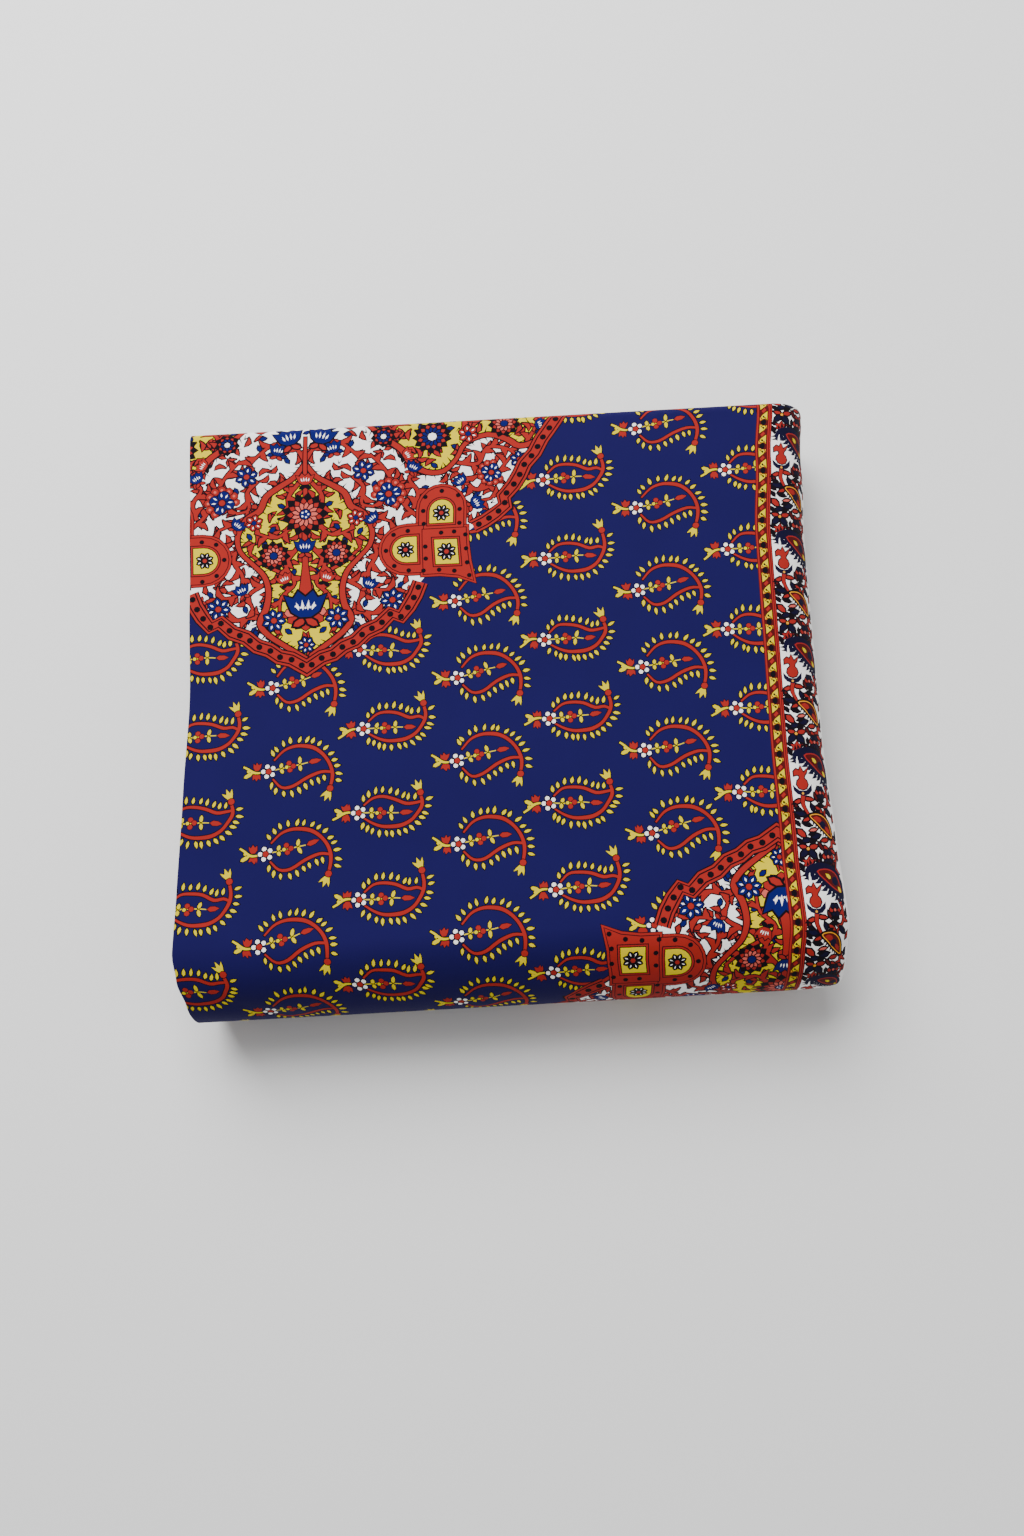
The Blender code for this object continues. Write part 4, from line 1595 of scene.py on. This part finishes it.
def hidden_leaves():
    """The leaves under the outer stretch as one solid, with each fold and selvedge at its edges."""
    bm = bmesh.new()
    top = [0.0, 0.006, 0.0166] + [step / TOP_PARTS for step in range(2, TOP_PARTS)]
    roll = [1.0 + step / ROLL_PARTS for step in range(ROLL_PARTS + 1)]
    stations = top + roll + [WRAP_END - place for place in reversed(top)]
    start = LEAF_WIDTH - BORDER_WIDTH + SHOULDER_START
    widths = [start * step / FLAT_PARTS for step in range(FLAT_PARTS)]
    turned = LEAF_WIDTH - start
    widths += [start + turned * step / SHOULDER_PARTS for step in range(SHOULDER_PARTS + 1)]
    folds, selvedges = leaf_rows(FOLD_EDGE), leaf_rows(SELVEDGE_EDGE)
    lay_grid(bm, lambda across, along: hidden_point(across, along, 0.0), widths, stations)
    lay_grid(bm, lambda inwards, along: hidden_point(0.0, along, inwards), folds, stations)
    lay_grid(bm, lambda inwards, along: hidden_point(LEAF_WIDTH, along, inwards), selvedges, stations)
    lay_grid(bm, lambda inwards, across: hidden_point(across, 0.0, inwards), folds, widths)
    lay_grid(bm, lambda inwards, across: hidden_point(across, WRAP_END, inwards), folds, widths)
    bmesh.ops.remove_doubles(bm, verts=bm.verts, dist=MERGED)
    bmesh.ops.dissolve_degenerate(bm, edges=bm.edges, dist=MERGED)
    bmesh.ops.recalc_face_normals(bm, faces=bm.faces)
    sides = [1.0 if face.normal.x > 0.6 else 0.0 for face in bm.faces]
    piece = as_object("folded_leaves", bm)
    piece.data.attributes.new("selvedge_side", "FLOAT", "FACE").data.foreach_set("value", sides)
    piece.data.set_sharp_from_angle(angle=math.radians(70.0))
    return piece


# Materials

# Threads of 0.4 mm, as the turns of a wave in each metre
THREADS = 2.0 * math.pi / 0.0004

# How many patches of dye pass over the folded edges in a metre, and which dye each share gets
EDGE_PATCHES = (190.0, 190.0, 340.0)
FOLD_DYES = ((0.0, "navy"), (0.66, "ink"), (0.74, "red"), (0.87, "yellow"), (0.95, "white"))
SELVEDGE_DYES = ((0.0, "white"), (0.40, "navy"), (0.58, "red"), (0.80, "ink"), (0.95, "gold"))


# How the cotton takes the light
COTTON_FINISH = (
    ("Roughness", 0.85),
    ("Specular IOR Level", 0.12),
    ("Sheen Weight", 0.02),
    ("Sheen Roughness", 0.5),
)


def sockets(group, side, names):
    for name, kind, value in names:
        socket = group.interface.new_socket(name=name, in_out=side, socket_type=kind)
        if value is not None:
            socket.default_value = value


def add_node(tree, kind, inputs, **settings):
    """A node with these settings, whose inputs are linked from an output or set to a value."""
    node = tree.nodes.new("ShaderNode" + kind)
    for name, value in settings.items():
        setattr(node, name, value)
    for name, value in inputs.items():
        if isinstance(value, bpy.types.NodeSocket):
            tree.links.new(value, node.inputs[name])
        else:
            node.inputs[name].default_value = value
    return node


def cotton_weave_group():
    """Fine plain weave: a height for the threads and a slight unevenness of the dye."""
    group = bpy.data.node_groups.new("cotton weave", "ShaderNodeTree")
    sockets(group, "INPUT", (("Vector", "NodeSocketVector", None), ("Threads", "NodeSocketFloat", THREADS)))
    sockets(group, "OUTPUT", (("Height", "NodeSocketFloat", None), ("Unevenness", "NodeSocketFloat", None)))
    given, out = group.nodes.new("NodeGroupInput"), group.nodes.new("NodeGroupOutput")
    vector, threads = given.outputs["Vector"], given.outputs["Threads"]
    split = add_node(group, "SeparateXYZ", {0: vector})
    waves = []
    for axis in ("X", "Y"):
        scaled = add_node(group, "Math", {0: split.outputs[axis], 1: threads}, operation="MULTIPLY")
        wave = add_node(group, "Math", {0: scaled.outputs[0]}, operation="SINE")
        waves.append(wave.outputs[0])
    crossed = add_node(group, "Math", {0: waves[0], 1: waves[1]}, operation="MULTIPLY")
    group.links.new(crossed.outputs[0], out.inputs["Height"])
    cloud = add_node(group, "TexNoise", {"Vector": vector, "Scale": 45.0, "Detail": 6.0})
    group.links.new(cloud.outputs["Fac"], out.inputs["Unevenness"])
    return group


def cotton(name, weave, colour, place):
    """A material of plain cotton in a colour that colour(tree) gives, woven where place(tree) says."""
    material = bpy.data.materials.new(name)
    material.use_nodes = True
    tree = material.node_tree
    threads = add_node(tree, "Group", {}, node_tree=weave)
    tree.links.new(place(tree), threads.inputs["Vector"])
    height, unevenness = threads.outputs["Height"], threads.outputs["Unevenness"]
    raised = add_node(tree, "Bump", {"Height": height, "Strength": 0.12, "Distance": 0.0001})
    fade = add_node(tree, "MapRange", {"Value": unevenness, "To Min": 0.90, "To Max": 1.08})
    tone = add_node(tree, "VectorMath", {}, operation="SCALE")
    tree.links.new(colour(tree), tone.inputs[0])
    tree.links.new(fade.outputs["Result"], tone.inputs["Scale"])
    shader = tree.nodes["Principled BSDF"]
    for finish, value in COTTON_FINISH:
        shader.inputs[finish].default_value = value
    tree.links.new(raised.outputs["Normal"], shader.inputs["Normal"])
    tree.links.new(tone.outputs["Vector"], shader.inputs["Base Color"])
    return material


def on_sheet_place(tree):
    """The place on the flat sheet."""
    return add_node(tree, "UVMap", {}, uv_map="cloth").outputs["UV"]


def in_bundle_place(tree):
    """The place in the bundle."""
    return add_node(tree, "TexCoord", {}).outputs["Object"]


def print_colour(tree):
    """Each printed shape's own dye."""
    return add_node(tree, "Attribute", {}, attribute_name="print").outputs["Color"]


def patched(tree, amount, steps):
    """A dye for each share of the patches, in hard steps."""
    dyes = add_node(tree, "ValToRGB", {"Fac": amount})
    dyes.color_ramp.interpolation = "CONSTANT"
    while len(dyes.color_ramp.elements) < len(steps):
        dyes.color_ramp.elements.new(0.5)
    for element, (at, dye) in zip(dyes.color_ramp.elements, steps):
        element.position = at
        element.color = DYES[dye]
    return dyes.outputs["Color"]


def edge_colour(tree):
    """The folded edges, where the print passes over in short patches of its dyes."""
    stretched = add_node(tree, "Mapping", {"Vector": in_bundle_place(tree), "Scale": EDGE_PATCHES})
    cells = add_node(tree, "TexVoronoi", {"Vector": stretched.outputs["Vector"], "Scale": 1.0})
    amount = add_node(tree, "SeparateColor", {"Color": cells.outputs["Color"]}).outputs["Red"]
    side = add_node(tree, "Attribute", {}, attribute_name="selvedge_side")
    fold, selvedge = (patched(tree, amount, steps) for steps in (FOLD_DYES, SELVEDGE_DYES))
    inputs = {"Factor": side.outputs["Fac"], "A": fold, "B": selvedge}
    return add_node(tree, "Mix", inputs, data_type="RGBA").outputs["Result"]


# The camera, the floor and the light

PICTURE_WIDE = 1024
PICTURE_HIGH = 1536
SENSOR = 36.0
FOCAL_PIXELS = 1400.0
CAMERA_ELEVATION = 1.3341154
CAMERA_DISTANCE = 0.6456973
CAMERA_TURN = 0.010380572
CAMERA_ROLL = -0.065572552
CAMERA_AIM = Vector((-0.00014881, -0.03094800, 0.03))


def add_camera():
    """The photograph's view: from high in front, a little turned."""
    back = Vector((0.0, -math.cos(CAMERA_ELEVATION), math.sin(CAMERA_ELEVATION)))
    right = Vector((1.0, 0.0, 0.0))
    up = right.cross(-back)
    rolled_right = right * math.cos(CAMERA_ROLL) + up * math.sin(CAMERA_ROLL)
    rolled_up = -right * math.sin(CAMERA_ROLL) + up * math.cos(CAMERA_ROLL)
    axes = Matrix((rolled_right, rolled_up, back)).transposed()
    placed_camera = Matrix.Translation(CAMERA_AIM + back * CAMERA_DISTANCE) @ axes.to_4x4()
    data = bpy.data.cameras.new("view")
    data.sensor_width = SENSOR
    data.lens = FOCAL_PIXELS / max(PICTURE_WIDE, PICTURE_HIGH) * SENSOR
    data.clip_start = 0.01
    camera = bpy.data.objects.new("view", data)
    camera.matrix_world = Matrix.Rotation(CAMERA_TURN, 4, "Z") @ placed_camera
    bpy.context.collection.objects.link(camera)
    bpy.context.scene.camera = camera


FLOOR_REACH = 3.0
FLOOR_DROP = 0.0003
FLOOR_COLOUR = (0.9, 0.9, 0.9, 1.0)


def add_floor():
    bm = bmesh.new()
    bmesh.ops.create_grid(bm, x_segments=1, y_segments=1, size=FLOOR_REACH)
    floor = as_object("floor", bm)
    floor.location.z = -FLOOR_DROP
    material = bpy.data.materials.new("pale_floor")
    material.use_nodes = True
    shader = material.node_tree.nodes["Principled BSDF"]
    shader.inputs["Base Color"].default_value = FLOOR_COLOUR
    shader.inputs["Roughness"].default_value = 0.9
    floor.data.materials.append(material)


LAMPS = (
    # name, place, size, watts
    ("overhead", (-0.40, 0.90, 1.28), 1.3, 51.0),
    ("side", (0.9, -0.3, 1.3), 0.9, 3.0),
)
LAMP_AIM = Vector((0.0, 0.0, 0.03))
AIR_COLOUR = (1.0, 1.0, 1.0, 1.0)
AIR_LIGHT = 0.325


def add_lights():
    for name, place, size, watts in LAMPS:
        data = bpy.data.lights.new(name, "AREA")
        data.size = size
        data.energy = watts
        lamp = bpy.data.objects.new(name, data)
        lamp.location = place
        lamp.rotation_euler = (LAMP_AIM - Vector(place)).to_track_quat("-Z", "Y").to_euler()
        bpy.context.collection.objects.link(lamp)
    world = bpy.data.worlds.new("studio")
    world.use_nodes = True
    air = world.node_tree.nodes["Background"]
    air.inputs["Color"].default_value = AIR_COLOUR
    air.inputs["Strength"].default_value = AIR_LIGHT
    bpy.context.scene.world = world


def main():
    add_camera()
    add_floor()
    add_lights()
    weave = cotton_weave_group()
    cloth = printed_cloth()
    material = cotton("printed_cotton", weave, print_colour, on_sheet_place)
    for piece in cloth:
        piece.data.materials.append(material)
        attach(piece, "root")
        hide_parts("outer_stretch")
    leaves = hidden_leaves()
    leaves.data.materials.append(cotton("folded_edges", weave, edge_colour, in_bundle_place))
    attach(leaves, "root")
    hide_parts("inner_layers")


main()
